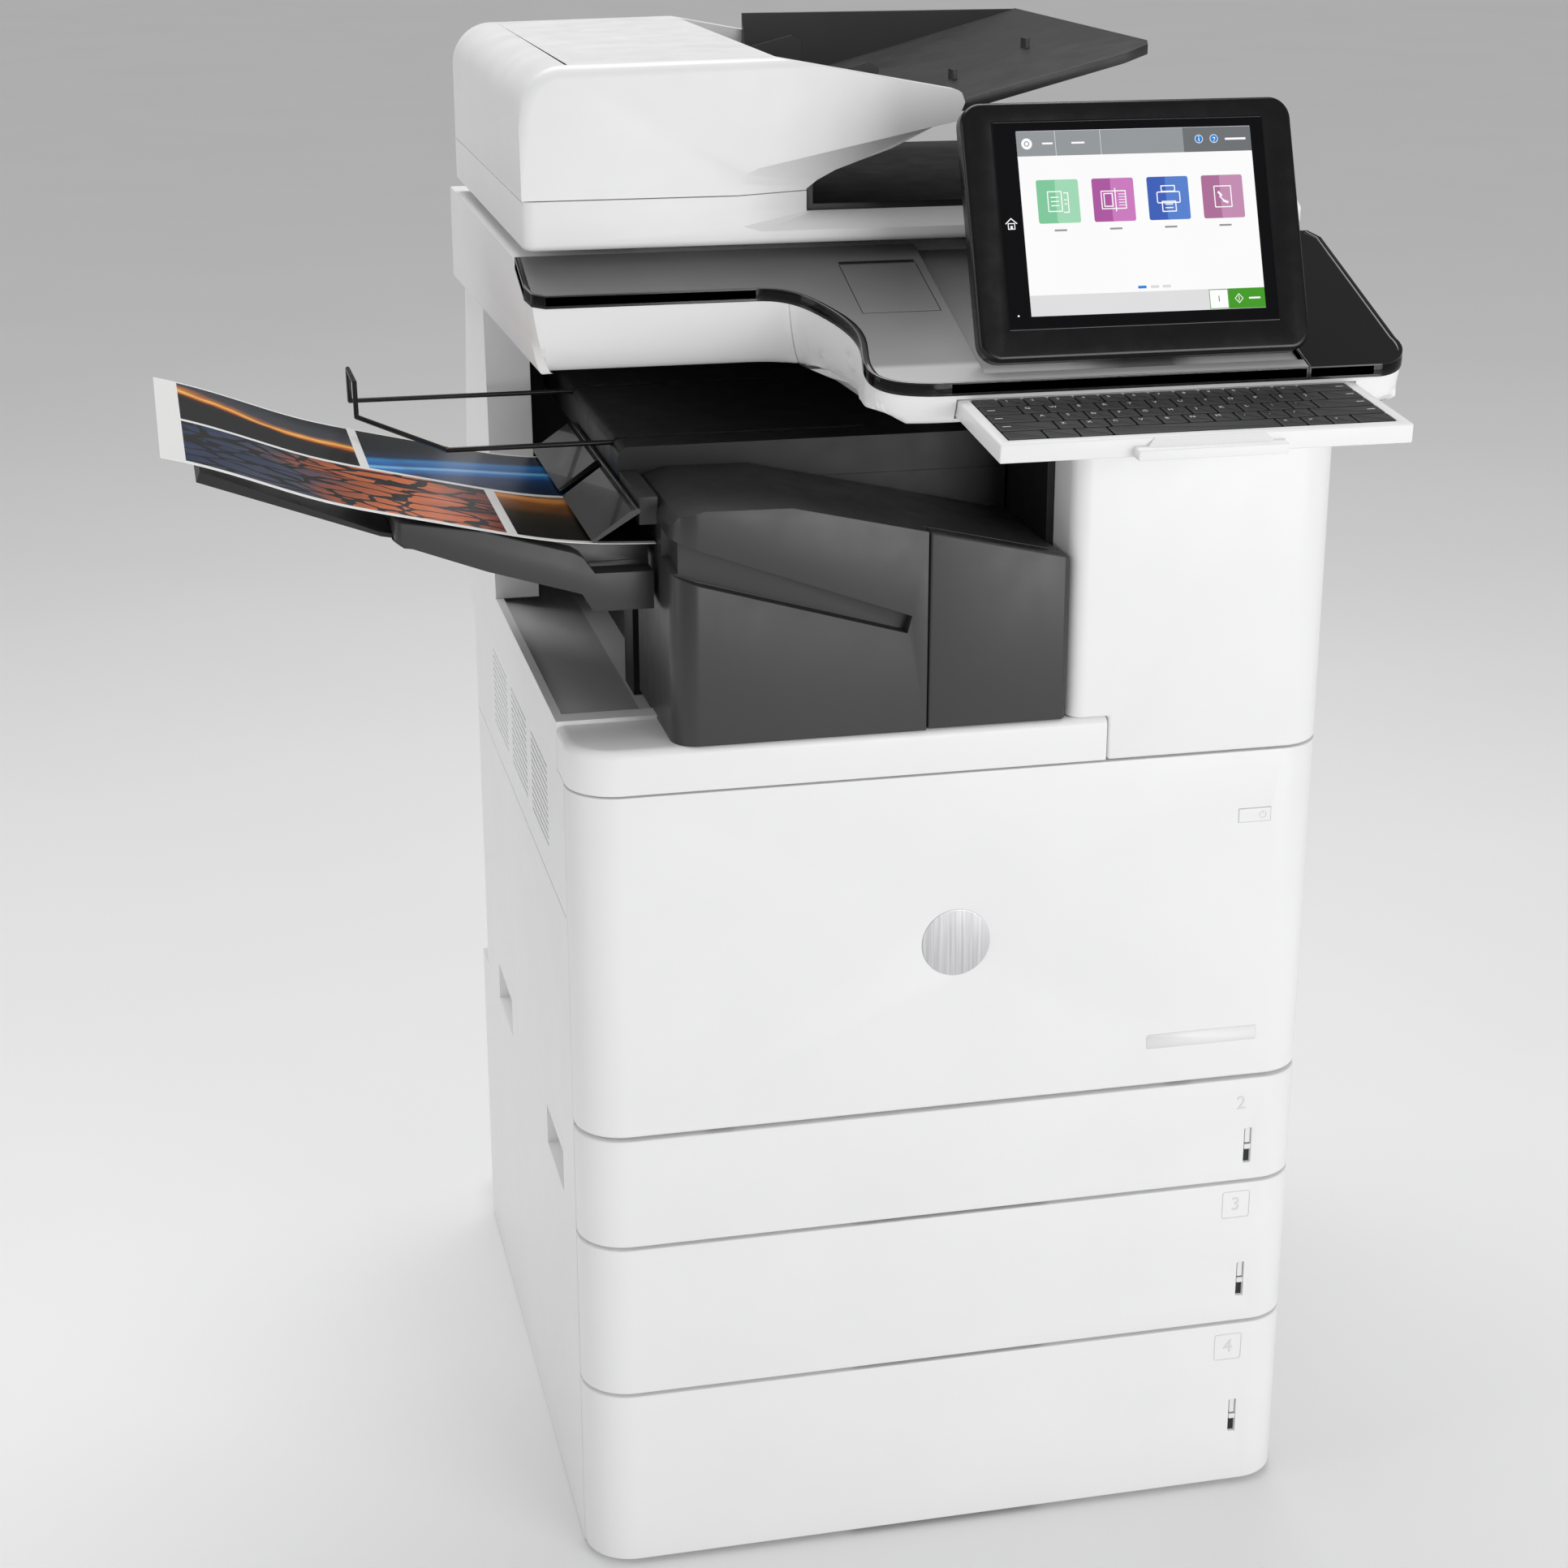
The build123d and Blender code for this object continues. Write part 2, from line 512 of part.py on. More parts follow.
rail_z = base_bottom + 20
lid_rear = scan_rear - 30
with BuildPart() as scanner_base:
    with BuildSketch(top_plane(pod_bottom)):
        make_face(deck_outline(0))
    extrude(amount=glass_z - pod_bottom)
    with Locations(deck_plane.offset(-9)):
        Box(1600, 2400, 400, align=(Align.CENTER, Align.CENTER, Align.MIN), mode=Mode.SUBTRACT)
    with BuildSketch(front_plane(-100)):
        with BuildLine():
            Polyline((-scan_half - 9, pod_bottom - 9), (-62, pod_bottom - 9), (-62, pod_bottom),
                     (-100, base_bottom), (-scan_half - 9, base_bottom), close=True)
        make_face()
    extrude(amount=-(body_depth + 200), mode=Mode.SUBTRACT)
    block(-110, column_left - 6, 165, scan_rear + 1, pod_bottom - 9, base_bottom, Mode.SUBTRACT)
    block(-scan_half + 12, scan_half - 12, 172, scan_rear - 12, base_bottom + 7, glass_z - 8, Mode.SUBTRACT)
    block(-215, 215, 190, 480, glass_z - 9, glass_z + 1, Mode.SUBTRACT)
    block(-222, 222, 183, 487, glass_z - 3, glass_z + 1, Mode.SUBTRACT)
    with Locations(kb_plane):
        with Locations((0, 170, -7)):
            Box(2 * kb_half + 1.6, 146, 15.2, mode=Mode.SUBTRACT)
    for x in (126 - kb_half - 0.9, 126 + kb_half + 0.8):
        block(x, x + 0.1, -100, 82.55, 900, 1100, Mode.SUBTRACT)
    block(-400, 400, 82.5, 82.6, 900, 1100, Mode.SUBTRACT)
    rod_x(335, rail_z, -scan_half + 11, scan_half - 11, 4)
    for x in (-200, 200):
        block(x - 25, x + 25, lid_rear + 0.6, lid_rear + 24, glass_z - 1, lid_bottom + 14)
save(scanner_base.part, "scanner_base")

wing_left = 240
with BuildPart() as control_deck:
    with BuildSketch(top_plane(pod_bottom)):
        make_face(deck_outline(-0.6))
    extrude(amount=150)
    with Locations(deck_plane):
        with Locations((0, 0, -9)):
            Box(1600, 2400, 300, align=(Align.CENTER, Align.CENTER, Align.MAX), mode=Mode.SUBTRACT)
        Box(1600, 2400, 300, align=(Align.CENTER, Align.CENTER, Align.MIN), mode=Mode.SUBTRACT)
    block(-400, 400, 148, body_depth, pod_bottom, pod_bottom + 300, Mode.SUBTRACT)
    block(wing_left - 0.4, 400, -200, 200, pod_bottom, pod_bottom + 300, Mode.SUBTRACT)
    with Locations(deck_plane):
        with Locations((wing_left / 2, 120, 0)):
            Box(wing_left + 6, 212, 10, mode=Mode.SUBTRACT)
        with Locations((-39.5, 149, 0)):
            Box(60, 78, 6, mode=Mode.SUBTRACT)
save(control_deck.part, "control_deck")

with BuildPart() as right_wing:
    with BuildSketch(top_plane(pod_bottom)):
        make_face(deck_outline(-0.6))
    extrude(amount=150)
    with Locations(deck_plane):
        with Locations((0, 0, -9)):
            Box(1600, 2400, 300, align=(Align.CENTER, Align.CENTER, Align.MAX), mode=Mode.SUBTRACT)
        Box(1600, 2400, 300, align=(Align.CENTER, Align.CENTER, Align.MIN), mode=Mode.SUBTRACT)
    block(-400, 400, 148, body_depth, pod_bottom, pod_bottom + 300, Mode.SUBTRACT)
    block(-400, wing_left, -200, 200, pod_bottom, pod_bottom + 300, Mode.SUBTRACT)
save(right_wing.part, "right_wing")

with BuildPart() as pocket_cover:
    with Locations(deck_plane):
        with Locations((-39.5, 149, -1.5)):
            Box(59, 77, 3)
save(pocket_cover.part, "pocket_cover")

with BuildPart() as platen_glass:
    block(-221.6, 221.6, 183.4, 486.6, glass_z - 3, glass_z)
save(platen_glass.part, "platen_glass")

with BuildPart() as scan_carriage:
    block(-284, -240, 186, 484, base_bottom + 28, glass_z - 12)
    block(-278, -246, 315, 355, base_bottom + 12, base_bottom + 30)
    rod_x(335, rail_z, -290, -230, 4.06, Mode.SUBTRACT)
save(scan_carriage.part, "scan_carriage")

# ---------------------------------------------------------------- keyboard
with BuildPart() as keyboard_tray:
    with Locations(kb_plane):
        Box(2 * kb_half, 131, 14, align=(Align.CENTER, Align.MIN, Align.MAX))
        with Locations((0, 9, 0)):
            Box(15 * key_pitch, 5 * key_pitch, 11, align=(Align.CENTER, Align.MIN, Align.CENTER),
                mode=Mode.SUBTRACT)
    with BuildSketch(kb_plane.offset(-14)):
        with Locations((0, -4)):
            Rectangle(110, 12)
    extrude(amount=8)
save(keyboard_tray.part, "keyboard_tray")

key_rows = (
    [1.5, 1.25, 1.25, 6.5, 1, 1, 1, 1.5],
    [2.25] + [1] * 10 + [2.75],
    [1.75] + [1] * 11 + [2.25],
    [1.5] + [1] * 12 + [1.5],
    [1] * 13 + [2],
)
for name, rows in (("bottom_keys", (0,)), ("letter_keys", (1, 2, 3)), ("number_keys", (4,))):
    with BuildPart() as keys:
        for row in rows:
            left = -7.5 * key_pitch
            for units in key_rows[row]:
                size = units * key_pitch
                with Locations(kb_plane):
                    with Locations((left + size / 2, 9 + (row + 0.5) * key_pitch, -2.2)):
                        Box(size - 1.4, key_pitch - 1.4, 4.8)
                left = left + size
    save(keys.part, name)

# ---------------------------------------------------------------- touch panel
tilt = radians(panel_angle)
panel_y = front_y - 13.6
panel_z = deck_front_z + 104
panel_x = 122.5
panel_plane = Plane(origin=(panel_x, panel_y, panel_z), x_dir=(1, 0, 0), z_dir=(0, -cos(tilt), sin(tilt)))
pivot_d = 0
pivot_z = panel_z - 71

with BuildPart() as panel_arm:
    for x in (86, 159):
        block(x - 6, x + 6, pivot_d - 9, pivot_d + 9, deck_front_z + 10, pivot_z)
        rod_x(pivot_d, pivot_z, x - 6, x + 6, 9)
    rod_x(pivot_d, pivot_z, 80, 165, 4)
    with Locations(deck_plane.offset(-5)):
        Box(1600, 2400, 60, align=(Align.CENTER, Align.CENTER, Align.MAX), mode=Mode.SUBTRACT)
save(panel_arm.part, "panel_arm")

with BuildPart() as touch_panel:
    with BuildSketch(panel_plane):
        with Locations((-3.5, -5)):
            RectangleRounded(251, 187, 16)
    extrude(amount=-16)
    fillet(touch_panel.faces().sort_by(Axis.Y)[-1].edges(), 4)
    with BuildSketch(panel_plane.offset(1)):
        with Locations((-3.75, -1)):
            Rectangle(205, 149.4)
    extrude(amount=-2.2, mode=Mode.SUBTRACT)
    rod_x(pivot_d, pivot_z, 92.6, 152.4, 9)
    block(92.6, 152.4, pivot_d - 26, pivot_d, pivot_z - 6, pivot_z + 6)
    rod_x(pivot_d, pivot_z, 90, 155, 4.06, Mode.SUBTRACT)
save(touch_panel.part, "touch_panel")

with BuildPart() as panel_glass:
    with BuildSketch(panel_plane.offset(-0.2)):
        with Locations((-3.75, -1)):
            Rectangle(204.6, 149)
    extrude(amount=-1)
save(panel_glass.part, "panel_glass")

# ---------------------------------------------------------------- lid and document feeder
lid_left = -scan_half + 3
lid_right = scan_half - 3
beak_x = -88
scoop_outer = [(lid_right + 20, adf_seam - 27), (-128, adf_seam - 27), (-142, adf_seam - 23),
               (-147.5, adf_seam - 12), (-147.5, adf_seam + 8), (-143, adf_seam + 15), (-132, adf_seam + 20),
               (24, adf_seam + 50.5), (lid_right + 20, adf_seam + 51)]
scoop_inner = [(lid_right + 20, adf_seam - 16), (-84, adf_seam - 16), (-86, adf_seam - 15.6),
               (beak_x + 0.2, adf_seam - 13), (beak_x + 0.2, adf_seam + 2), (-83, adf_seam + 6),
               (-76, adf_seam + 8.4), (24, adf_seam + 50.3), (lid_right + 20, adf_seam + 50.8)]


def scoop():
    """Sloping recess round the exit of the feeder."""
    with BuildSketch(front_plane(124.9)) as outer:
        with BuildLine():
            Polyline(*scoop_outer, close=True)
        make_face()
    with BuildSketch(front_plane(146)) as inner_face:
        with BuildLine():
            Polyline(*scoop_inner, close=True)
        make_face()
    loft([outer.sketch.faces()[0], inner_face.sketch.faces()[0]], ruled=True, mode=Mode.SUBTRACT)


with BuildPart() as scanner_lid:
    block(lid_left, lid_right, 125, lid_rear, lid_bottom, adf_seam - 0.6)
    block(beak_x, lid_right + 1, 124, lid_rear + 1, lid_bottom + 21, adf_seam, Mode.SUBTRACT)
    fillet(scanner_lid.edges().filter_by(Axis.Z).group_by(Axis.Y)[0], 10)
    fillet(scanner_lid.edges().group_by(Axis.Z)[0], 5)
    scoop()
save(scanner_lid.part, "scanner_lid")

with BuildPart() as platen_pad:
    block(-212, 212, 192, 478, glass_z + 0.6, lid_bottom)
save(platen_pad.part, "platen_pad")

with BuildPart() as adf_cover:
    with BuildSketch(front_plane(126)):
        with BuildLine():
            Polyline((lid_left, adf_seam), (lid_left, adf_seam + 60))
            ThreePointArc((lid_left, adf_seam + 60), (lid_left + 10, adf_seam + 86), (lid_left + 36, adf_top - 3))
            Polyline((lid_left + 36, adf_top - 3), (-116, adf_top), (-84, adf_top - 6), (24, adf_top - 26),
                     (27, adf_top - 28), (29.5, adf_top - 35), (24, adf_top - 48.4), (-22, adf_top - 70),
                     (-45, adf_top - 77.6), (-66, adf_top - 84.6), (-80, adf_top - 92), (beak_x, adf_seam + 1),
                     (beak_x, adf_seam), (lid_left, adf_seam))
        make_face()
    extrude(amount=-(lid_rear - 127))
    scoop()
    block(-112, 60, 147, lid_rear - 22, adf_seam - 1, adf_top + 1, Mode.SUBTRACT)
    block(lid_left + 8, -120, 139, lid_rear - 12, adf_seam - 1, adf_top - 12, Mode.SUBTRACT)
    block(-121, -111, 147, lid_rear - 22, adf_seam - 1, adf_seam + 62, Mode.SUBTRACT)
    block(lid_left - 1, lid_left + 38, 136, lid_rear - 12, adf_seam + 62, adf_top, Mode.SUBTRACT)
    with BuildSketch(front_plane(130)):
        with BuildLine():
            Polyline((lid_left, adf_seam + 55), (lid_left, adf_seam + 60))
            ThreePointArc((lid_left, adf_seam + 60), (lid_left + 10, adf_seam + 86), (lid_left + 36, adf_top - 3))
            Polyline((lid_left + 36, adf_top - 3), (lid_left + 44, adf_top - 3), (lid_left + 44, adf_top - 12),
                     (lid_left + 36, adf_top - 12))
            ThreePointArc((lid_left + 36, adf_top - 12), (lid_left + 16, adf_seam + 80),
                          (lid_left + 8, adf_seam + 55))
            Line((lid_left + 8, adf_seam + 55), (lid_left, adf_seam + 55))
        make_face()
    extrude(amount=-(lid_rear - 135))
save(adf_cover.part, "adf_cover")

frame_top = adf_seam + 28
roller_d = 325
with BuildPart() as adf_frame:
    block(lid_left + 12, beak_x - 1.6, 150, lid_rear - 24, adf_seam - 0.6, frame_top)
    block(beak_x - 2, beak_x + 6, 150, lid_rear - 24, adf_seam - 0.6, adf_seam + 12)
    block(beak_x + 1, beak_x + 6, 150, lid_rear - 24, lid_bottom + 21, adf_seam + 2)
    block(beak_x + 1, lid_right - 4, 150, lid_rear - 24, lid_bottom + 21, lid_bottom + 26)
    for d in (roller_d - 36, roller_d + 30):
        block(-162, -138, d, d + 6, frame_top - 1, frame_top + 26)
        rod_y(-150, frame_top + 15, d - 1, d + 7, 3.06, Mode.SUBTRACT)
    block(-176, -124, roller_d - 29.4, roller_d + 29.4, frame_top - 2, frame_top + 40, Mode.SUBTRACT)
save(adf_frame.part, "adf_frame")

with BuildPart() as pickup_roller:
    rod_y(-150, frame_top + 15, roller_d - 38, roller_d + 38, 3)
    rod_y(-150, frame_top + 15, roller_d - 28, roller_d + 28, 12)
save(pickup_roller.part, "pickup_roller")

tray_d0 = 148
tray_d1 = lid_rear - 23


def tray_height(x):
    """Upper surface of the document tray."""
    return frame_top + 12 + (x + 60) * 61 / 243


with BuildPart() as document_tray:
    with BuildSketch(front_plane(tray_d0)):
        with BuildLine():
            Polyline((beak_x - 1, frame_top + 9), (-60, tray_height(-60)), (190, tray_height(190)),
                     (192, tray_height(190) - 7), (-60, tray_height(-60) - 9), (beak_x - 1, frame_top + 0.4),
                     close=True)
        make_face()
    extrude(amount=-(tray_d1 - tray_d0))
    with BuildSketch(top_plane(adf_seam)):
        with BuildLine():
            Polyline((160, tray_d0 - 1), (200, tray_d0 - 1), (200, tray_d0 + 60), (184, tray_d0 + 10), close=True)
        make_face()
    extrude(amount=150, mode=Mode.SUBTRACT)
    for x, d in ((55, 250), (130, 300)):
        with Locations((x, front_y + d, tray_height(x) + 2.5)):
            Box(4, 12, 11)
    with Locations((-60, front_y + 325, frame_top + 17)):
        Box(6, 2 * 165, 12, mode=Mode.SUBTRACT)
save(document_tray.part, "document_tray")

for name, d in (("guide_front", 195), ("guide_rear", 455)):
    with BuildPart() as guide:
        with BuildSketch(front_plane(d)):
            with BuildLine():
                Polyline((-84, frame_top + 18), (-84, frame_top + 46), (-28, frame_top + 60), (-20, frame_top + 56),
                         (-20, tray_height(-20) + 0.4), (-57.6, tray_height(-57.6) + 0.4), (-57.6, frame_top + 11.4),
                         (-62.4, frame_top + 11.4), (-62.4, frame_top + 18), close=True)
            make_face()
        extrude(amount=-6)
    save(guide.part, name)
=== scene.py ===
import json
import math

import bmesh
import bpy
from bpy.props import FloatProperty, FloatVectorProperty, PointerProperty
from mathutils import Matrix, Vector


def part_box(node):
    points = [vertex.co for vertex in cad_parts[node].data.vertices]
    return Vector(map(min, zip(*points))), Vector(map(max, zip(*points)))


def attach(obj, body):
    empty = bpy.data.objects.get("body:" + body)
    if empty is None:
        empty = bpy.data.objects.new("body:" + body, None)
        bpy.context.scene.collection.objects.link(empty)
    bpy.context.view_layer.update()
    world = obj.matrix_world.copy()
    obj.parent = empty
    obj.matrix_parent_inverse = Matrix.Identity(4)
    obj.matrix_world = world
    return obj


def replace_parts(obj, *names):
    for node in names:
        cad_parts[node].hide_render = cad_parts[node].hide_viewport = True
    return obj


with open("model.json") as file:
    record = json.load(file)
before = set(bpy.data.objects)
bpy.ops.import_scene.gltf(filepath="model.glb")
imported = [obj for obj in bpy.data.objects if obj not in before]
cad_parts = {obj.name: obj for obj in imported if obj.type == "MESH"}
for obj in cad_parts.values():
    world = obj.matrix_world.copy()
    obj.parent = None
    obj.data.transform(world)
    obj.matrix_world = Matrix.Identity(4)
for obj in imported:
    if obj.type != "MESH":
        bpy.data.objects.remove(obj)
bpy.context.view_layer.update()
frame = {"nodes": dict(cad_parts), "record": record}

bl_info = {
    "name": "Office Copier Looks",
    "version": (1, 0, 0),
    "blender": (4, 5, 0),
    "location": "View3D > Sidebar > Copier",
    "description": "Dresses the packed copier with mouldings, display, keys, print and studio",
    "category": "Object",
}

MM = 0.001
NODES = frame["nodes"]


# ---------------------------------------------------------------- settings
class CopierFinishes(bpy.types.PropertyGroup):
    """Colours and surface grades of the copier's finishes."""

    shell_white: FloatVectorProperty(
        name="Shell white", description="Colour of the white mouldings",
        subtype="COLOR", size=3, min=0, max=1, default=(0.84, 0.84, 0.845))
    finisher_grey: FloatVectorProperty(
        name="Finisher grey", description="Colour of the dark finisher mouldings",
        subtype="COLOR", size=3, min=0, max=1, default=(0.034, 0.034, 0.035))
    deck_grey: FloatVectorProperty(
        name="Deck grey", description="Colour of the control deck",
        subtype="COLOR", size=3, min=0, max=1, default=(0.17, 0.17, 0.173))
    moulding_black: FloatVectorProperty(
        name="Moulding black", description="Colour of the grained black mouldings",
        subtype="COLOR", size=3, min=0, max=1, default=(0.012, 0.012, 0.013))
    shell_roughness: FloatProperty(
        name="Shell roughness", description="How dull the white shell is",
        subtype="FACTOR", min=0, max=1, default=0.38)


class CopierPanel(bpy.types.PropertyGroup):
    """Sizes of the pieces that are modelled round the frame."""

    tilt: FloatProperty(
        name="Screen tilt", description="How far the screen leans back", subtype="ANGLE",
        default=math.radians(21.8))
    keyboard_slope: FloatProperty(
        name="Keyboard slope", description="How far the keyboard falls to the front", subtype="ANGLE",
        default=math.radians(5.1))
    key_pitch: FloatProperty(
        name="Key pitch", description="Distance from one key to the next", subtype="DISTANCE", unit="LENGTH",
        min=0.012, max=0.03, default=0.019)
    deck_slope: FloatProperty(
        name="Deck slope", description="How far the control deck falls to the front", subtype="ANGLE",
        default=math.radians(18))
    tub_lean: FloatProperty(
        name="Tub lean", description="How far the tub's front wall leans in, as a share of its height",
        subtype="FACTOR", min=0, max=1, default=0.62)
    edge_share: FloatProperty(
        name="Edge rounding", description="Scales the rounding of all moulded edges", subtype="FACTOR",
        min=0.1, max=2, default=1.0)
    paper_slope: FloatProperty(
        name="Document slope", description="How far the document tray rises to the right", subtype="ANGLE",
        default=math.atan(61 / 243))
    cover_round: FloatProperty(
        name="Cover rounding", description="Rounding round the front of the feeder cover",
        subtype="DISTANCE", unit="LENGTH", min=0, max=0.03, default=0.010)


class CopierStudio(bpy.types.PropertyGroup):
    """Camera and light of the studio."""

    lens: FloatProperty(
        name="Lens", description="Focal length in millimetres", subtype="DISTANCE_CAMERA",
        min=10, max=300, default=65.09)
    fill: FloatProperty(
        name="Fill", description="Strength of the even light all round",
        min=0, max=5, default=0.53)


# ---------------------------------------------------------------- materials
def finish_nodes(name, colour, roughness, **sockets):
    """A principled finish; keyword names are the shader's own sockets with underscores for spaces."""
    material = bpy.data.materials.new(name)
    material.use_nodes = True
    tree = material.node_tree
    shader = tree.nodes["Principled BSDF"]
    shader.inputs["Base Color"].default_value = (*colour, 1)
    shader.inputs["Roughness"].default_value = roughness
    for socket, value in sockets.items():
        shader.inputs[socket.replace("_", " ")].default_value = value
    return material, tree, shader


def object_noise(tree, scale, detail=2.0, stretch=(1, 1, 1)):
    """Noise laid out on the object's own coordinates."""
    coordinates = tree.nodes.new("ShaderNodeTexCoord")
    mapping = tree.nodes.new("ShaderNodeMapping")
    mapping.inputs["Scale"].default_value = stretch
    noise = tree.nodes.new("ShaderNodeTexNoise")
    noise.inputs["Scale"].default_value = scale
    noise.inputs["Detail"].default_value = detail
    tree.links.new(coordinates.outputs["Object"], mapping.inputs["Vector"])
    tree.links.new(mapping.outputs["Vector"], noise.inputs["Vector"])
    return noise.outputs["Fac"]


def add_grain(tree, shader, scale, depth, strength=0.5, stretch=(1, 1, 1)):
    """Fine moulded grain as a bump, depth in metres."""
    bump = tree.nodes.new("ShaderNodeBump")
    bump.inputs["Distance"].default_value = depth
    bump.inputs["Strength"].default_value = strength
    tree.links.new(object_noise(tree, scale, 3.0, stretch), bump.inputs["Height"])
    tree.links.new(bump.outputs["Normal"], shader.inputs["Normal"])


def vary_colour(tree, shader, dark, light, scale, detail=3.0, stretch=(1, 1, 1)):
    """Slow drift between two close tones."""
    ramp = tree.nodes.new("ShaderNodeValToRGB")
    ramp.color_ramp.elements[0].position = 0.3
    ramp.color_ramp.elements[0].color = (*dark, 1)
    ramp.color_ramp.elements[1].position = 0.7
    ramp.color_ramp.elements[1].color = (*light, 1)
    tree.links.new(object_noise(tree, scale, detail, stretch), ramp.inputs["Fac"])
    tree.links.new(ramp.outputs["Color"], shader.inputs["Base Color"])
    return ramp


def vary_roughness(tree, shader, low, high, scale):
    spread = tree.nodes.new("ShaderNodeMapRange")
    spread.inputs["From Min"].default_value = 0.3
    spread.inputs["From Max"].default_value = 0.7
    spread.inputs["To Min"].default_value = low
    spread.inputs["To Max"].default_value = high
    tree.links.new(object_noise(tree, scale, 4.0), spread.inputs["Value"])
    tree.links.new(spread.outputs["Result"], shader.inputs["Roughness"])


def toned(colour, factor):
    return tuple(min(1.0, c * factor) for c in colour)


def moulded(name, colour, roughness, grain, depth, drift=0.03, **sockets):
    """Injection moulded plastic: slight drift of tone and sheen over a fine spark-eroded grain."""
    material, tree, shader = finish_nodes(name, colour, roughness, **sockets)
    vary_colour(tree, shader, toned(colour, 1 - drift), toned(colour, 1 + drift), 9)
    vary_roughness(tree, shader, roughness - 0.04, roughness + 0.05, 40)
    add_grain(tree, shader, grain, depth)
    smooth_plastic_edges(tree, 0.0006)
    return material


def make_finishes(settings):
    white = tuple(settings.shell_white)
    black = tuple(settings.moulding_black)
    finishes = {
        "white_shell": moulded("satin_white_shell", white, settings.shell_roughness, 1400, 0.00003, 0.012),
        "dark_shell": moulded("satin_dark_shell", tuple(settings.finisher_grey), 0.36, 1500, 0.00004, 0.05),
        "black_moulding": moulded("grained_black_moulding", black, 0.42, 1300, 0.00005, 0.1),
        "deck_grey": moulded("textured_deck_grey", tuple(settings.deck_grey), 0.40, 1100, 0.00006, 0.06),
        "keycap": moulded("matte_keycap", (0.03, 0.03, 0.032), 0.5, 1800, 0.00002, 0.06),
        "wire": moulded("black_coated_wire", (0.008, 0.008, 0.008), 0.3, 900, 0.00002, 0.1),
        "roller_rubber": moulded("ground_roller_rubber", (0.045, 0.045, 0.05), 0.8, 2200, 0.00008, 0.12),
        "foam_pad": moulded("white_pressure_pad", (0.86, 0.86, 0.84), 0.7, 1800, 0.00008, 0.02),
        "print_paper": moulded("plain_sheet", (0.88, 0.88, 0.87), 0.5, 2400, 0.00001, 0.01),
    }
    gloss, tree, shader = finish_nodes("polished_black", (0.006, 0.006, 0.007), 0.10, Specular_IOR_Level=0.5)
    vary_roughness(tree, shader, 0.05, 0.11, 25)
    finishes["gloss_black"] = gloss
    glass, tree, shader = finish_nodes("display_cover_glass", (0.004, 0.004, 0.005), 0.06,
                                       Specular_IOR_Level=0.3)
    vary_roughness(tree, shader, 0.04, 0.08, 18)
    finishes["screen_glass"] = glass
    metal, tree, shader = finish_nodes("zinc_plated_sheet", (0.5, 0.5, 0.52), 0.35, Metallic=1.0)
    vary_colour(tree, shader, (0.42, 0.42, 0.44), (0.6, 0.6, 0.62), 60, 5)
    vary_roughness(tree, shader, 0.28, 0.45, 90)
    finishes["frame_metal"] = metal
    platen, tree, shader = finish_nodes("clear_platen_glass", (0.8, 0.87, 0.86), 0.03, IOR=1.5,
                                        Transmission_Weight=0.9)
    vary_roughness(tree, shader, 0.02, 0.05, 12)
    finishes["platen"] = platen
    finishes["toner"] = toner_finish()
    belt, tree, shader = finish_nodes("transfer_belt_film", (0.02, 0.02, 0.025), 0.16, Coat_Weight=0.6)
    vary_roughness(tree, shader, 0.12, 0.2, 30)
    finishes["belt"] = belt
    brushed, tree, shader = finish_nodes("brushed_disc", (0.6, 0.6, 0.61), 0.3, Metallic=1.0)
    vary_colour(tree, shader, (0.5, 0.5, 0.51), (0.68, 0.68, 0.7), 700, 4, (1, 1, 0.02))
    finishes["badge_metal"] = brushed
    return finishes


def toner_finish():
    """Grey cartridges, each with its own ink colour across the machine."""
    material, tree, shader = finish_nodes("toner_cartridge_grey", (0.05, 0.05, 0.055), 0.45)
    coordinates = tree.nodes.new("ShaderNodeTexCoord")
    split = tree.nodes.new("ShaderNodeSeparateXYZ")
    spread = tree.nodes.new("ShaderNodeMapRange")
    spread.inputs["From Min"].default_value = -0.24
    spread.inputs["From Max"].default_value = 0.18
    ramp = tree.nodes.new("ShaderNodeValToRGB")
    ramp.color_ramp.interpolation = "CONSTANT"
    ramp.color_ramp.elements[0].color = (0.75, 0.6, 0.02, 1)
    ramp.color_ramp.elements[1].position = 0.25
    ramp.color_ramp.elements[1].color = (0.6, 0.03, 0.25, 1)
    for position, colour in ((0.5, (0.01, 0.3, 0.6, 1)), (0.75, (0.02, 0.02, 0.022, 1))):
        ramp.color_ramp.elements.new(position).color = colour
    tree.links.new(coordinates.outputs["Object"], split.inputs["Vector"])
    tree.links.new(split.outputs["X"], spread.inputs["Value"])
    tree.links.new(spread.outputs["Result"], ramp.inputs["Fac"])
    tree.links.new(ramp.outputs["Color"], shader.inputs["Base Color"])
    add_grain(tree, shader, 1300, 0.00004)
    return material


def smooth_plastic_edges(tree, radius):
    """Rounds sharp moulded edges in the shading; joined to the bump that is already there."""
    edge = tree.nodes.new("ShaderNodeBevel")
    edge.samples = 4
    edge.inputs["Radius"].default_value = radius
    bump = next(node for node in tree.nodes if node.type == "BUMP")
    tree.links.new(edge.outputs["Normal"], bump.inputs["Normal"])


def sum_node(tree, operation, first, second=None):
    """Math node; each input is a socket or a number."""
    node = tree.nodes.new("ShaderNodeMath")
    node.operation = operation
    for slot, value in enumerate((first, second)):
        if value is None:
            continue
        if isinstance(value, (int, float)):
            node.inputs[slot].default_value = value
        else:
            tree.links.new(value, node.inputs[slot])
    return node.outputs[0]


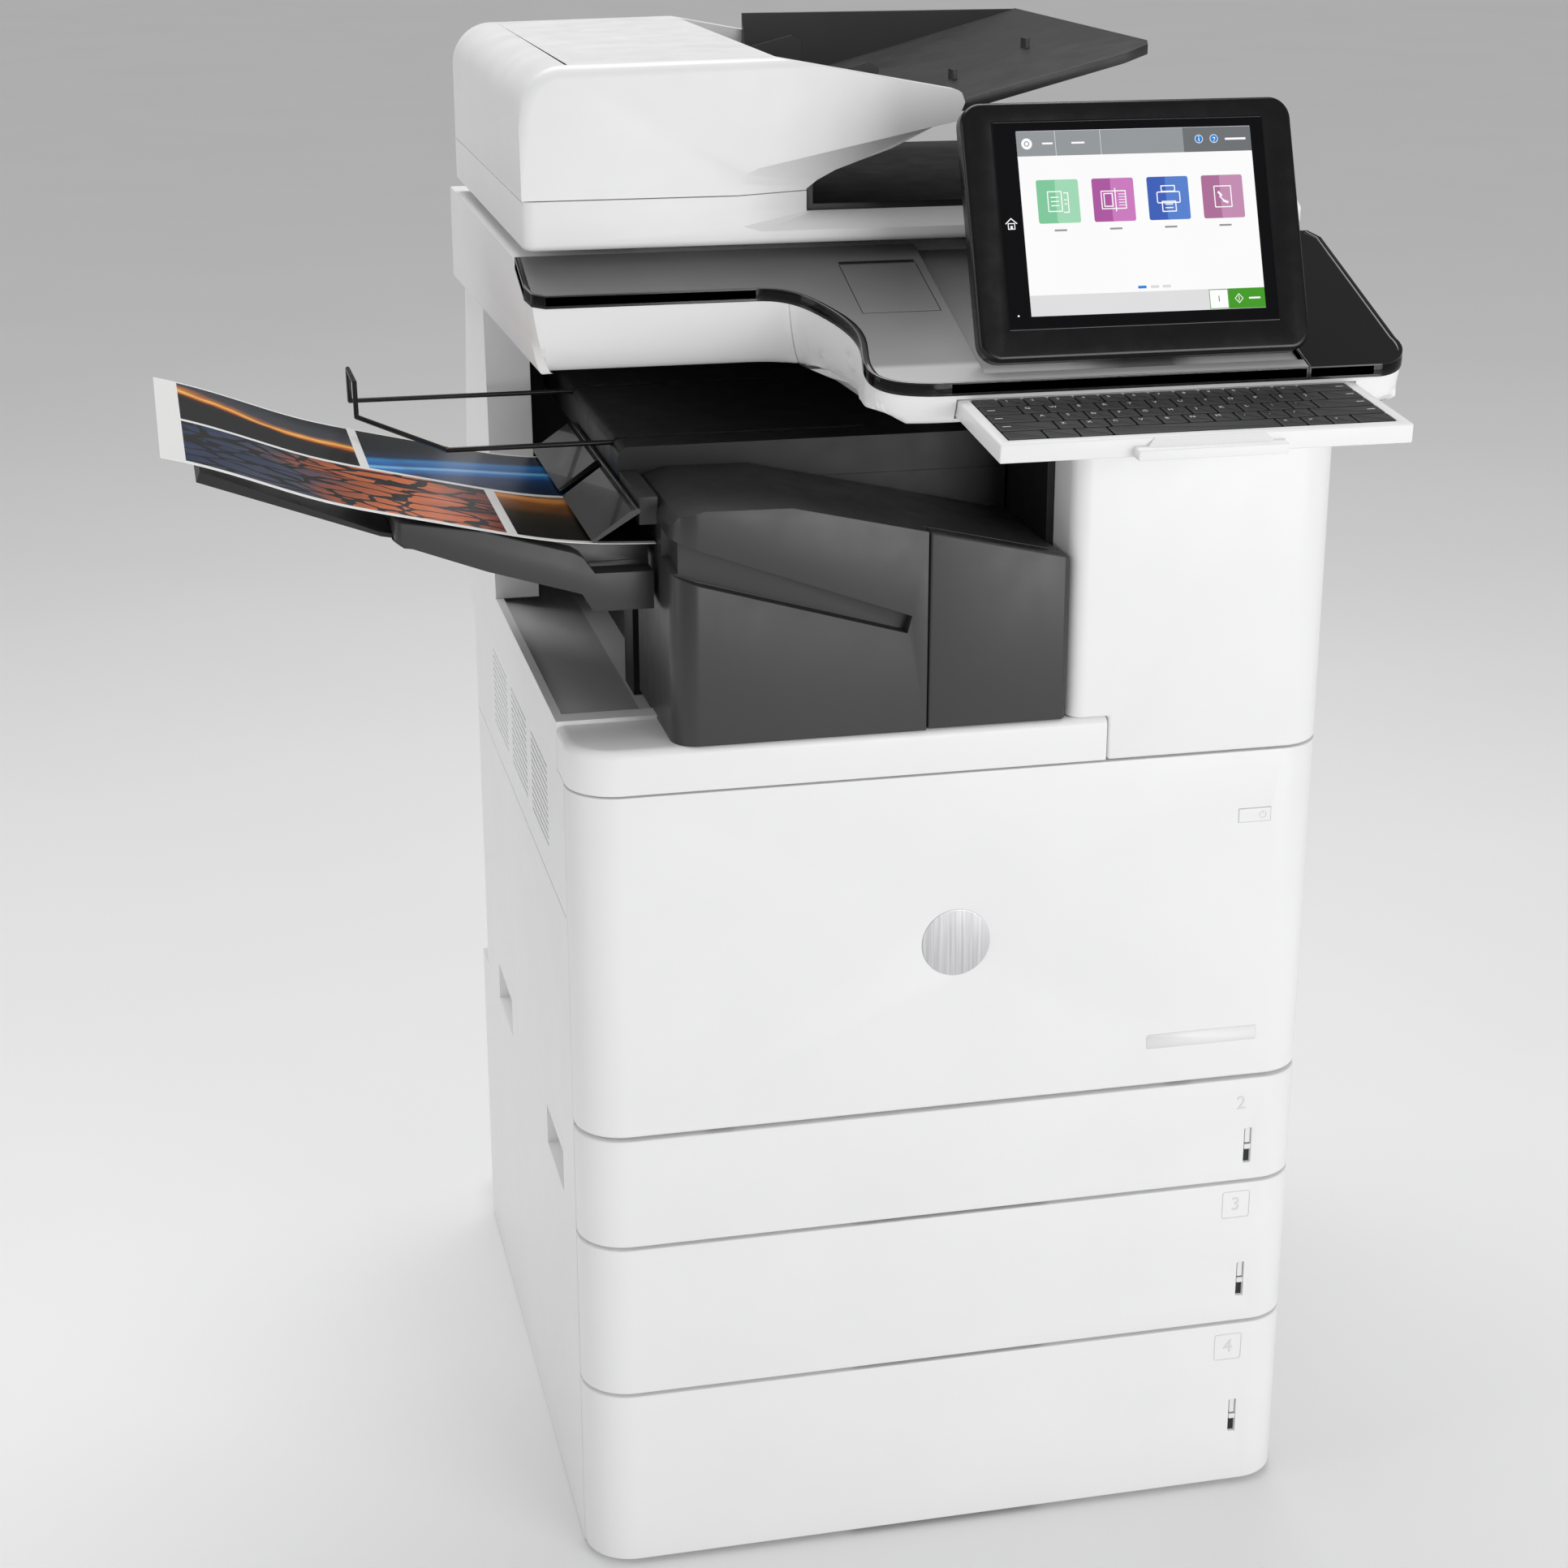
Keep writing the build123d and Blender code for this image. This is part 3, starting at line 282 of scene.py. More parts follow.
def mix_colours(tree, factor, first, second):
    """Colour mix; colours are sockets or tuples."""
    node = tree.nodes.new("ShaderNodeMix")
    node.data_type = "RGBA"
    tree.links.new(factor, node.inputs["Factor"])
    for name, value in ((6, first), (7, second)):
        if isinstance(value, tuple):
            node.inputs[name].default_value = (*value, 1)
        else:
            tree.links.new(value, node.inputs[name])
    return node.outputs[2]


def object_axes(tree):
    coordinates = tree.nodes.new("ShaderNodeTexCoord")
    place = tree.nodes.new("ShaderNodeSeparateXYZ")
    facing = tree.nodes.new("ShaderNodeSeparateXYZ")
    tree.links.new(coordinates.outputs["Object"], place.inputs["Vector"])
    tree.links.new(coordinates.outputs["Normal"], facing.inputs["Vector"])
    return place.outputs, facing.outputs


def colour_ramp(tree, factor, stops):
    ramp = tree.nodes.new("ShaderNodeValToRGB")
    elements = ramp.color_ramp.elements
    elements[0].position, elements[1].position = stops[0][0], stops[-1][0]
    elements[0].color, elements[1].color = (*stops[0][1], 1), (*stops[-1][1], 1)
    for position, colour in stops[1:-1]:
        elements.new(position).color = (*colour, 1)
    tree.links.new(factor, ramp.inputs["Fac"])
    return ramp.outputs["Color"]


def between(tree, value, low, high):
    """1 inside the span, 0 outside."""
    return sum_node(tree, "MULTIPLY", sum_node(tree, "GREATER_THAN", value, low),
                    sum_node(tree, "LESS_THAN", value, high))


def deck_finish(colour):
    """Grained grey on the upper face, polished black round the rim, a paler strip along the front."""
    material, tree, shader = finish_nodes("textured_deck_grey", colour, 0.36)
    place, facing = object_axes(tree)
    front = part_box("control_deck")[0].y
    nearness = tree.nodes.new("ShaderNodeMapRange")
    nearness.interpolation_type = "SMOOTHSTEP"
    nearness.inputs["From Min"].default_value = front + 0.022
    nearness.inputs["From Max"].default_value = front + 0.030
    nearness.inputs["To Min"].default_value = 1
    nearness.inputs["To Max"].default_value = 0
    tree.links.new(place["Y"], nearness.inputs["Value"])
    drift = colour_ramp(tree, object_noise(tree, 9, 3.0),
                        [(0.3, toned(colour, 0.93)), (0.7, toned(colour, 1.07))])
    upper = mix_colours(tree, nearness.outputs["Result"], drift, toned(colour, 2.3))
    is_top = sum_node(tree, "GREATER_THAN", facing["Z"], 0.7)
    tree.links.new(mix_colours(tree, is_top, (0.006, 0.006, 0.007), upper), shader.inputs["Base Color"])
    dull = tree.nodes.new("ShaderNodeMapRange")
    dull.inputs["To Min"].default_value = 0.08
    dull.inputs["To Max"].default_value = 0.40
    tree.links.new(is_top, dull.inputs["Value"])
    tree.links.new(dull.outputs["Result"], shader.inputs["Roughness"])
    add_grain(tree, shader, 1100, 0.00006)
    smooth_plastic_edges(tree, 0.0006)
    return material


def printed_sheet_finish():
    """A generic four-picture colour print on the upper side of the sheet, plain underneath."""
    material, tree, shader = finish_nodes("colour_print", (0.88, 0.88, 0.87), 0.28)
    low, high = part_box("printed_sheet")
    place, facing = object_axes(tree)
    along = sum_node(tree, "DIVIDE", sum_node(tree, "SUBTRACT", place["X"], low.x), high.x - low.x)
    across = sum_node(tree, "DIVIDE", sum_node(tree, "SUBTRACT", place["Y"], low.y), high.y - low.y)
    wander = object_noise(tree, 9, 4.0)
    coarse = object_noise(tree, 24, 5.0, (0.45, 1, 1))
    fine = object_noise(tree, 70, 4.0, (0.35, 1, 1))

    ridge = sum_node(tree, "ADD", sum_node(tree, "MULTIPLY", along, 0.42),
                     sum_node(tree, "MULTIPLY", wander, 0.16))
    dusk_line = sum_node(tree, "SUBTRACT", sum_node(tree, "ADD", across, ridge), 0.93)
    streak = sum_node(tree, "ADD", sum_node(tree, "MULTIPLY", dusk_line, 3.2),
                      sum_node(tree, "MULTIPLY", coarse, 0.35))
    dusk = colour_ramp(tree, streak, [
        (0.0, (0.003, 0.003, 0.004)), (0.14, (0.05, 0.012, 0.004)), (0.22, (0.75, 0.16, 0.01)),
        (0.30, (1.0, 0.62, 0.12)), (0.37, (0.55, 0.16, 0.03)), (0.5, (0.05, 0.055, 0.07)),
        (1.0, (0.006, 0.008, 0.012))])

    wave_line = sum_node(tree, "ADD", sum_node(tree, "MULTIPLY", across, 1.6),
                         sum_node(tree, "MULTIPLY", sum_node(tree, "SINE", sum_node(
                             tree, "MULTIPLY", along, 5.5)), 0.22))
    wave = colour_ramp(tree, sum_node(tree, "SUBTRACT", wave_line, 0.72), [
        (0.0, (0.004, 0.02, 0.06)), (0.16, (0.006, 0.05, 0.17)), (0.24, (0.02, 0.22, 0.62)),
        (0.28, (0.25, 0.62, 0.95)), (0.32, (0.01, 0.12, 0.42)), (0.42, (0.03, 0.25, 0.6)),
        (0.47, (0.004, 0.03, 0.09)), (0.62, (0.003, 0.006, 0.01)), (1.0, (0.002, 0.003, 0.004))])

    cells = tree.nodes.new("ShaderNodeTexVoronoi")
    cells.feature = "DISTANCE_TO_EDGE"
    cells.inputs["Scale"].default_value = 38
    warp = tree.nodes.new("ShaderNodeCombineXYZ")
    tree.links.new(sum_node(tree, "ADD", sum_node(tree, "MULTIPLY", place["X"], 0.7),
                            sum_node(tree, "MULTIPLY", wander, 0.10)), warp.inputs["X"])
    tree.links.new(sum_node(tree, "ADD", sum_node(tree, "MULTIPLY", place["Y"], 1.5),
                            sum_node(tree, "MULTIPLY", coarse, 0.05)), warp.inputs["Y"])
    tree.links.new(warp.outputs["Vector"], cells.inputs["Vector"])
    glow = colour_ramp(tree, sum_node(tree, "ADD", sum_node(tree, "MULTIPLY", along, 1.1),
                                      sum_node(tree, "MULTIPLY", coarse, 0.5)), [
        (0.3, (0.012, 0.03, 0.09)), (0.5, (0.05, 0.06, 0.10)), (0.62, (0.34, 0.08, 0.03)),
        (0.85, (0.72, 0.17, 0.05)), (1.0, (0.25, 0.04, 0.02))])
    veins = sum_node(tree, "LESS_THAN", sum_node(tree, "ADD", cells.outputs["Distance"], sum_node(
        tree, "MULTIPLY", fine, 0.16)), 0.17)
    patchwork = mix_colours(tree, veins, glow, (0.006, 0.006, 0.008))

    ember_reach = sum_node(tree, "SUBTRACT", sum_node(tree, "ADD", sum_node(
        tree, "MULTIPLY", across, 2.4), sum_node(tree, "MULTIPLY", coarse, 0.4)), 0.55)
    ember = colour_ramp(tree, ember_reach, [
        (0.0, (0.008, 0.006, 0.003)), (0.35, (0.03, 0.02, 0.006)), (0.62, (0.30, 0.10, 0.02)),
        (0.74, (0.85, 0.34, 0.08)), (0.86, (0.12, 0.035, 0.01)), (1.0, (0.03, 0.01, 0.005))])

    rear_row = between(tree, across, 0.515, 0.985)
    front_row = between(tree, across, 0.022, 0.49)
    picture = (0.88, 0.88, 0.87)
    for span, row, image in (((0.05, 0.425), rear_row, dusk), ((0.445, 2.0), rear_row, wave),
                             ((0.05, 0.69), front_row, patchwork), ((0.712, 2.0), front_row, ember)):
        mask = sum_node(tree, "MULTIPLY", between(tree, along, *span), row)
        picture = mix_colours(tree, mask, picture, image)
    upper = sum_node(tree, "GREATER_THAN", facing["Z"], 0.3)
    tree.links.new(mix_colours(tree, upper, (0.86, 0.86, 0.855), picture), shader.inputs["Base Color"])
    add_grain(tree, shader, 2600, 0.00001)
    return material


# ---------------------------------------------------------------- modelling helpers
def deselect():
    bpy.ops.object.select_all(action="DESELECT")


def take(piece):
    """Makes a piece the only selected one."""
    deselect()
    piece.select_set(True)
    bpy.context.view_layer.objects.active = piece
    return piece


def all_faces_out(piece):
    take(piece)
    bpy.ops.object.mode_set(mode="EDIT")
    bpy.ops.mesh.select_all(action="SELECT")
    bpy.ops.mesh.normals_make_consistent(inside=False)
    bpy.ops.object.mode_set(mode="OBJECT")
    return piece


def plate(u, v, width, height, corner, lift, thick, material, line=0.0, segments=4):
    """Thin plate with rounded corners, or its outline of the given line width, flat in a local frame."""
    deselect()
    bpy.ops.mesh.primitive_plane_add(size=1, location=(u, v, lift))
    piece = bpy.context.object
    piece.scale = (width, height, 1)
    bpy.ops.object.transform_apply(location=True, rotation=True, scale=True)
    bpy.ops.object.mode_set(mode="EDIT")
    bpy.ops.mesh.select_all(action="SELECT")
    if corner:
        bpy.ops.mesh.bevel(offset=corner, segments=segments, affect="VERTICES")
        bpy.ops.mesh.select_all(action="SELECT")
    if line:
        bpy.ops.mesh.inset(thickness=line)
        bpy.ops.mesh.delete(type="FACE")
        bpy.ops.mesh.select_all(action="SELECT")
    bpy.ops.mesh.extrude_region_move(TRANSFORM_OT_translate={"value": (0, 0, thick)})
    bpy.ops.mesh.select_all(action="SELECT")
    bpy.ops.mesh.normals_make_consistent(inside=False)
    bpy.ops.object.mode_set(mode="OBJECT")
    piece.data.materials.append(material)
    return piece


def disc(u, v, radius, lift, thick, material, line=0.0, sides=32):
    """Thin round plate, or a ring."""
    deselect()
    bpy.ops.mesh.primitive_circle_add(vertices=sides, radius=radius, fill_type="NGON", location=(u, v, lift))
    piece = bpy.context.object
    bpy.ops.object.transform_apply(location=True, rotation=True, scale=True)
    bpy.ops.object.mode_set(mode="EDIT")
    bpy.ops.mesh.select_all(action="SELECT")
    if line:
        bpy.ops.mesh.inset(thickness=line)
        bpy.ops.mesh.delete(type="FACE")
        bpy.ops.mesh.select_all(action="SELECT")
    bpy.ops.mesh.extrude_region_move(TRANSFORM_OT_translate={"value": (0, 0, thick)})
    bpy.ops.mesh.select_all(action="SELECT")
    bpy.ops.mesh.normals_make_consistent(inside=False)
    bpy.ops.object.mode_set(mode="OBJECT")
    piece.data.materials.append(material)
    return piece


def stroke(start, end, width, lift, thick, material):
    """Straight drawn line between two points of the local frame."""
    run = Vector(end) - Vector(start)
    piece = plate(0, 0, run.length + width, width, 0, 0, thick, material)
    middle = (Vector(start) + Vector(end)) / 2
    turn = Matrix.Rotation(math.atan2(run.y, run.x), 4, "Z")
    piece.data.transform(Matrix.Translation((*middle, lift)) @ turn)
    return piece


def lettering(text, u, v, size, lift, thick, material):
    """Plain raised figure or letter, centred."""
    deselect()
    bpy.ops.object.text_add(location=(0, 0, 0))
    piece = bpy.context.object
    piece.data.body = text
    piece.data.size = size
    piece.data.align_x = "CENTER"
    piece.data.align_y = "CENTER"
    piece.data.extrude = thick / 2
    piece.data.resolution_u = 2
    bpy.ops.object.convert(target="MESH")
    piece = bpy.context.object
    piece.data.transform(Matrix.Translation((u, v, lift + thick / 2)))
    piece.data.materials.clear()
    piece.data.materials.append(material)
    return piece


def join(name, pieces, place=None):
    deselect()
    for piece in pieces:
        piece.select_set(True)
    bpy.context.view_layer.objects.active = pieces[0]
    if len(pieces) > 1:
        bpy.ops.object.join()
    joined = bpy.context.view_layer.objects.active
    joined.name = name
    joined.data.name = name
    if place is not None:
        joined.data.transform(place)
    return joined


def merged_copy(node, name, flatten=0.3):
    """Clean copy of a carried part's mesh, joined up and with its flat faces whole."""
    piece = bpy.data.objects.new(name, NODES[node].data.copy())
    bpy.context.scene.collection.objects.link(piece)
    take(piece)
    bpy.ops.object.mode_set(mode="EDIT")
    bpy.ops.mesh.select_all(action="SELECT")
    bpy.ops.mesh.remove_doubles(threshold=0.00001)
    bpy.ops.mesh.dissolve_limited(angle_limit=math.radians(flatten))
    bpy.ops.object.mode_set(mode="OBJECT")
    if piece.data.has_custom_normals:
        bpy.ops.mesh.customdata_custom_splitnormals_clear()
    return piece


def soften(piece, width, segments=2, angle=28):
    """Rounds the hard edges of a piece and shades it smooth between them."""
    take(piece)
    rounding = piece.modifiers.new("rounded_edges", "BEVEL")
    rounding.width = width
    rounding.segments = segments
    rounding.limit_method = "ANGLE"
    rounding.angle_limit = math.radians(angle)
    rounding.harden_normals = False
    bpy.ops.object.modifier_apply(modifier=rounding.name)
    bpy.ops.object.shade_smooth_by_angle(angle=math.radians(35))
    return piece


def front_frame(x, z, y):
    """Local frame on a front face: u to the right, v up, lift out towards the user."""
    return Matrix(((1, 0, 0, x), (0, 0, -1, y), (0, 1, 0, z), (0, 0, 0, 1)))


def settle(piece, body):
    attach(piece, body)
    return piece


def lit(name, colour, strength=0.9, sheen=0.12):
    """Lit part of the display picture, with a faint drift of brightness over the panel."""
    material, tree, shader = finish_nodes(name, toned(colour, 0.12), sheen)
    glow = colour_ramp(tree, object_noise(tree, 14, 2.0), [(0.3, toned(colour, 0.97)), (0.7, colour)])
    tree.links.new(glow, shader.inputs["Emission Color"])
    shader.inputs["Emission Strength"].default_value = strength
    return material


# ---------------------------------------------------------------- operators
class COPIER_OT_finishes(bpy.types.Operator):
    """Gives every carried part of the copier its own finish"""

    bl_idname = "copier.finishes"
    bl_label = "Finish Carried Parts"

    def execute(self, context):
        finishes = make_finishes(context.scene.copier_finishes)
        finishes["deck_grey"] = deck_finish(tuple(context.scene.copier_finishes.deck_grey))
        finishes["print_paper"] = printed_sheet_finish()
        for part in frame["record"]["subparts"]:
            carried = NODES[part["node"]]
            carried.data.materials.clear()
            carried.data.materials.append(finishes[part["material_slot"]])
        frame_black, tree, shader = finish_nodes("satin_black_frame", (0.006, 0.006, 0.0065), 0.26)
        vary_roughness(tree, shader, 0.22, 0.30, 60)
        NODES["touch_panel"].data.materials[0] = frame_black
        NODES["pocket_cover"].data.materials[0] = finishes["deck_grey"]
        NODES["document_tray"].data.materials[0] = finishes["dark_shell"]
        smoked, tree, shader = finish_nodes("smoked_flap", (0.012, 0.012, 0.013), 0.16, Coat_Weight=0.5)
        vary_roughness(tree, shader, 0.12, 0.22, 30)
        NODES["paper_flaps"].data.materials[0] = smoked
        return {"FINISHED"}


class COPIER_OT_display(bpy.types.Operator):
    """Draws the lit start page on the touch screen"""

    bl_idname = "copier.display"
    bl_label = "Draw Display"

    def execute(self, context):
        look = context.scene.copier_panel
        low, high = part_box("panel_glass")
        tilt = look.tilt
        out = Vector((0, -math.cos(tilt), math.sin(tilt)))
        up = Vector((0, math.sin(tilt), math.cos(tilt)))
        centre = (low + high) / 2 + out * 0.5 * MM
        place = Matrix(((1, 0, 0, centre.x), (0, up.y, out.y, centre.y), (0, up.z, out.z, centre.z),
                        (0, 0, 0, 1))) @ Matrix.Translation((3.75 * MM, 1 * MM, 0)) @ Matrix.Scale(MM, 4)
        white = lit("display_white", (1, 1, 1))
        page = lit("display_page", (0.97, 0.97, 0.97))
        bar = lit("display_bar", (0.30, 0.32, 0.33))
        bar_dark = lit("display_bar_right", (0.16, 0.17, 0.18))
        foot = lit("display_foot", (0.74, 0.74, 0.75))
        ink = lit("display_ink", (0.06, 0.06, 0.07), 0.6)
        green = lit("display_green", (0.06, 0.33, 0.02))
        blue = lit("display_blue", (0.02, 0.24, 0.70))
        pale = lit("display_pale", (0.72, 0.72, 0.73))
        tiles = (("copy", lit("tile_green", (0.22, 0.58, 0.34)), lit("tile_green_light", (0.36, 0.70, 0.47))),
                 ("scan", lit("tile_magenta", (0.42, 0.10, 0.36)),
                  lit("tile_magenta_light", (0.60, 0.20, 0.52))),
                 ("print", lit("tile_blue", (0.05, 0.12, 0.48)), lit("tile_blue_light", (0.10, 0.22, 0.62))),
                 ("send", lit("tile_mauve", (0.42, 0.16, 0.32)), lit("tile_mauve_light", (0.55, 0.27, 0.45))))
        drawn = [plate(0, 0, 178, 133.6, 0.6, 0.02, 0.05, page),
                 plate(-26, 57.6, 126, 18, 0, 0.08, 0.03, bar),
                 plate(63, 57.6, 52, 18, 0, 0.08, 0.03, bar_dark),
                 plate(-60, 57.6, 0.4, 18, 0, 0.12, 0.02, pale),
                 plate(-26, 57.6, 0.4, 18, 0, 0.12, 0.02, pale),
                 plate(0, -59.3, 178, 15, 0, 0.08, 0.03, foot),
                 plate(53.6, -59.3, 14.6, 14.2, 0, 0.12, 0.03, white),
                 plate(53.6, -59.3, 14.6, 14.2, 0, 0.15, 0.02, green, line=0.5),
                 plate(75, -59.3, 28, 14.6, 0, 0.12, 0.03, green),
                 lettering("1", 53.6, -59.3, 6.2, 0.15, 0.02, ink),
                 disc(-81.5, 57.6, 4.0, 0.12, 0.03, white),
                 disc(-81.5, 57.6, 2.0, 0.16, 0.02, bar, line=0.7),
                 disc(49, 58, 3.1, 0.12, 0.03, white), disc(49, 58, 2.7, 0.16, 0.02, blue),
                 disc(60.5, 58, 3.1, 0.12, 0.03, white), disc(60.5, 58, 2.7, 0.16, 0.02, blue),
                 plate(49, 57.4, 0.7, 2.4, 0, 0.19, 0.02, white),
                 disc(49, 59.6, 0.45, 0.19, 0.02, white, sides=12),
                 plate(60.5, 58.7, 1.8, 0.6, 0, 0.19, 0.02, white),
                 plate(61.2, 58.2, 0.6, 1.4, 0, 0.19, 0.02, white),
                 disc(60.5, 56.5, 0.45, 0.19, 0.02, white, sides=12),
                 plate(-66, 57.6, 8, 1.3, 0.5, 0.12, 0.02, white),
                 plate(-43, 57.6, 10, 1.3, 0.5, 0.12, 0.02, white),
                 plate(77, 57.6, 16, 1.5, 0.5, 0.12, 0.02, white),
                 plate(-4, -48.5, 6.4, 2.0, 0.6, 0.08, 0.03, blue),
                 plate(5.6, -48.5, 6.4, 2.0, 0.6, 0.08, 0.03, pale),
                 plate(14.6, -48.5, 6.4, 2.0, 0.6, 0.08, 0.03, pale),
                 plate(81, -59.3, 9, 1.3, 0.5, 0.16, 0.02, white)]
        for start, end in (((66, -59.3), (69, -56)), ((69, -56), (72, -59.3)), ((72, -59.3), (69, -62.6)),
                           ((69, -62.6), (66, -59.3)), ((69, -57.8), (69, -60.8))):
            drawn.append(stroke(start, end, 0.5, 0.16, 0.02, white))
        for number, (kind, deep, light) in enumerate(tiles):
            u = -61.5 + 41.7 * number
            drawn += [plate(u, 15.5, 31.5, 31.5, 1.6, 0.08, 0.03, deep),
                      plate(u + 7, 15.5, 17.5, 31.5, 1.6, 0.12, 0.02, light),
                      plate(u, -5.4, 9.5, 1.4, 0.5, 0.08, 0.02, bar)]
            drawn += self.icon(kind, u, 15.5, white)
        settle(join("display_picture", drawn, place), "touch_panel")
        home = [plate(0, -1.4, 5.4, 4.6, 0, 0, 0.04, white, line=0.6),
                plate(0, -2.4, 1.6, 2.6, 0, 0, 0.04, white),
                stroke((-4, 0.6), (0, 4.2), 0.7, 0, 0.04, white),
                stroke((0, 4.2), (4, 0.6), 0.7, 0, 0.04, white)]
        home_place = place @ Matrix.Translation((-98, 0, 0.02))
        settle(join("home_mark", home, home_place), "touch_panel")
        lamp = disc(-98.5, -66, 0.7, 0.02, 0.05, white, sides=16)
        settle(join("panel_lamp", [lamp], place), "touch_panel")
        edge = bpy.data.materials["polished_black"]
        rim = plate(-3.75, -1, 206.4, 150.8, 1.5, -0.3, 0.7, edge, line=1.3)
        settle(soften(join("glass_rim", [rim], place), 0.2 * MM), "touch_panel")
        return {"FINISHED"}

    @staticmethod
    def icon(kind, u, v, ink):
        """White line drawing for one tile."""
        lift, thick, line = 0.16, 0.03, 0.75
        if kind == "copy":
            drawn = [plate(u - 2.6, v, 11, 15, 0.6, lift, thick, ink, line=line)]
            drawn += [plate(u - 2.6, v + 3 - 3 * row, 6, line, 0, lift, thick, ink) for row in range(3)]
            drawn += [plate(u + 7.4, v - 1, line, 14, 0, lift, thick, ink),
                      plate(u + 5.6, v - 8, 4.4, line, 0, lift, thick, ink),
                      plate(u + 6, v + 6, 3.6, line, 0, lift, thick, ink),
                      plate(u + 5.4, v + 1, 2, line, 0, lift, thick, ink),
                      plate(u + 5.4, v - 2, 2, line, 0, lift, thick, ink)]
            return drawn
        if kind == "scan":
            drawn = [plate(u, v, 19, 13.5, 0.5, lift, thick, ink, line=line),
                     plate(u - 4, v, 7, 10, 0, lift, thick, ink, line=line),
                     plate(u + 1.4, v, line, 17, 0, lift, thick, ink)]
            drawn += [plate(u + 6.2, v + 4 - 2 * row, 5, 0.5, 0, lift, thick, ink) for row in range(5)]
            return drawn
        if kind == "print":
            return [plate(u, v + 0.6, 18, 8.6, 1.2, lift, thick, ink, line=line),
                    plate(u, v + 7, 11, 4.8, 0.4, lift, thick, ink, line=line),
                    plate(u, v - 6, 11, 8, 0.4, lift, thick, ink, line=line),
                    plate(u, v - 4.4, 6, line, 0, lift, thick, ink),
                    plate(u, v - 7, 6, line, 0, lift, thick, ink)]
        return [plate(u, v, 13.5, 16, 0.6, lift, thick, ink, line=line),
                stroke((u - 3, v + 3), (u - 1.4, v + 1), 1.6, lift, thick, ink),
                stroke((u - 2.4, v), (u + 0.6, v - 3), 0.9, lift, thick, ink),
                stroke((u + 0.6, v - 3.2), (u + 3, v - 4.2), 1.6, lift, thick, ink)]


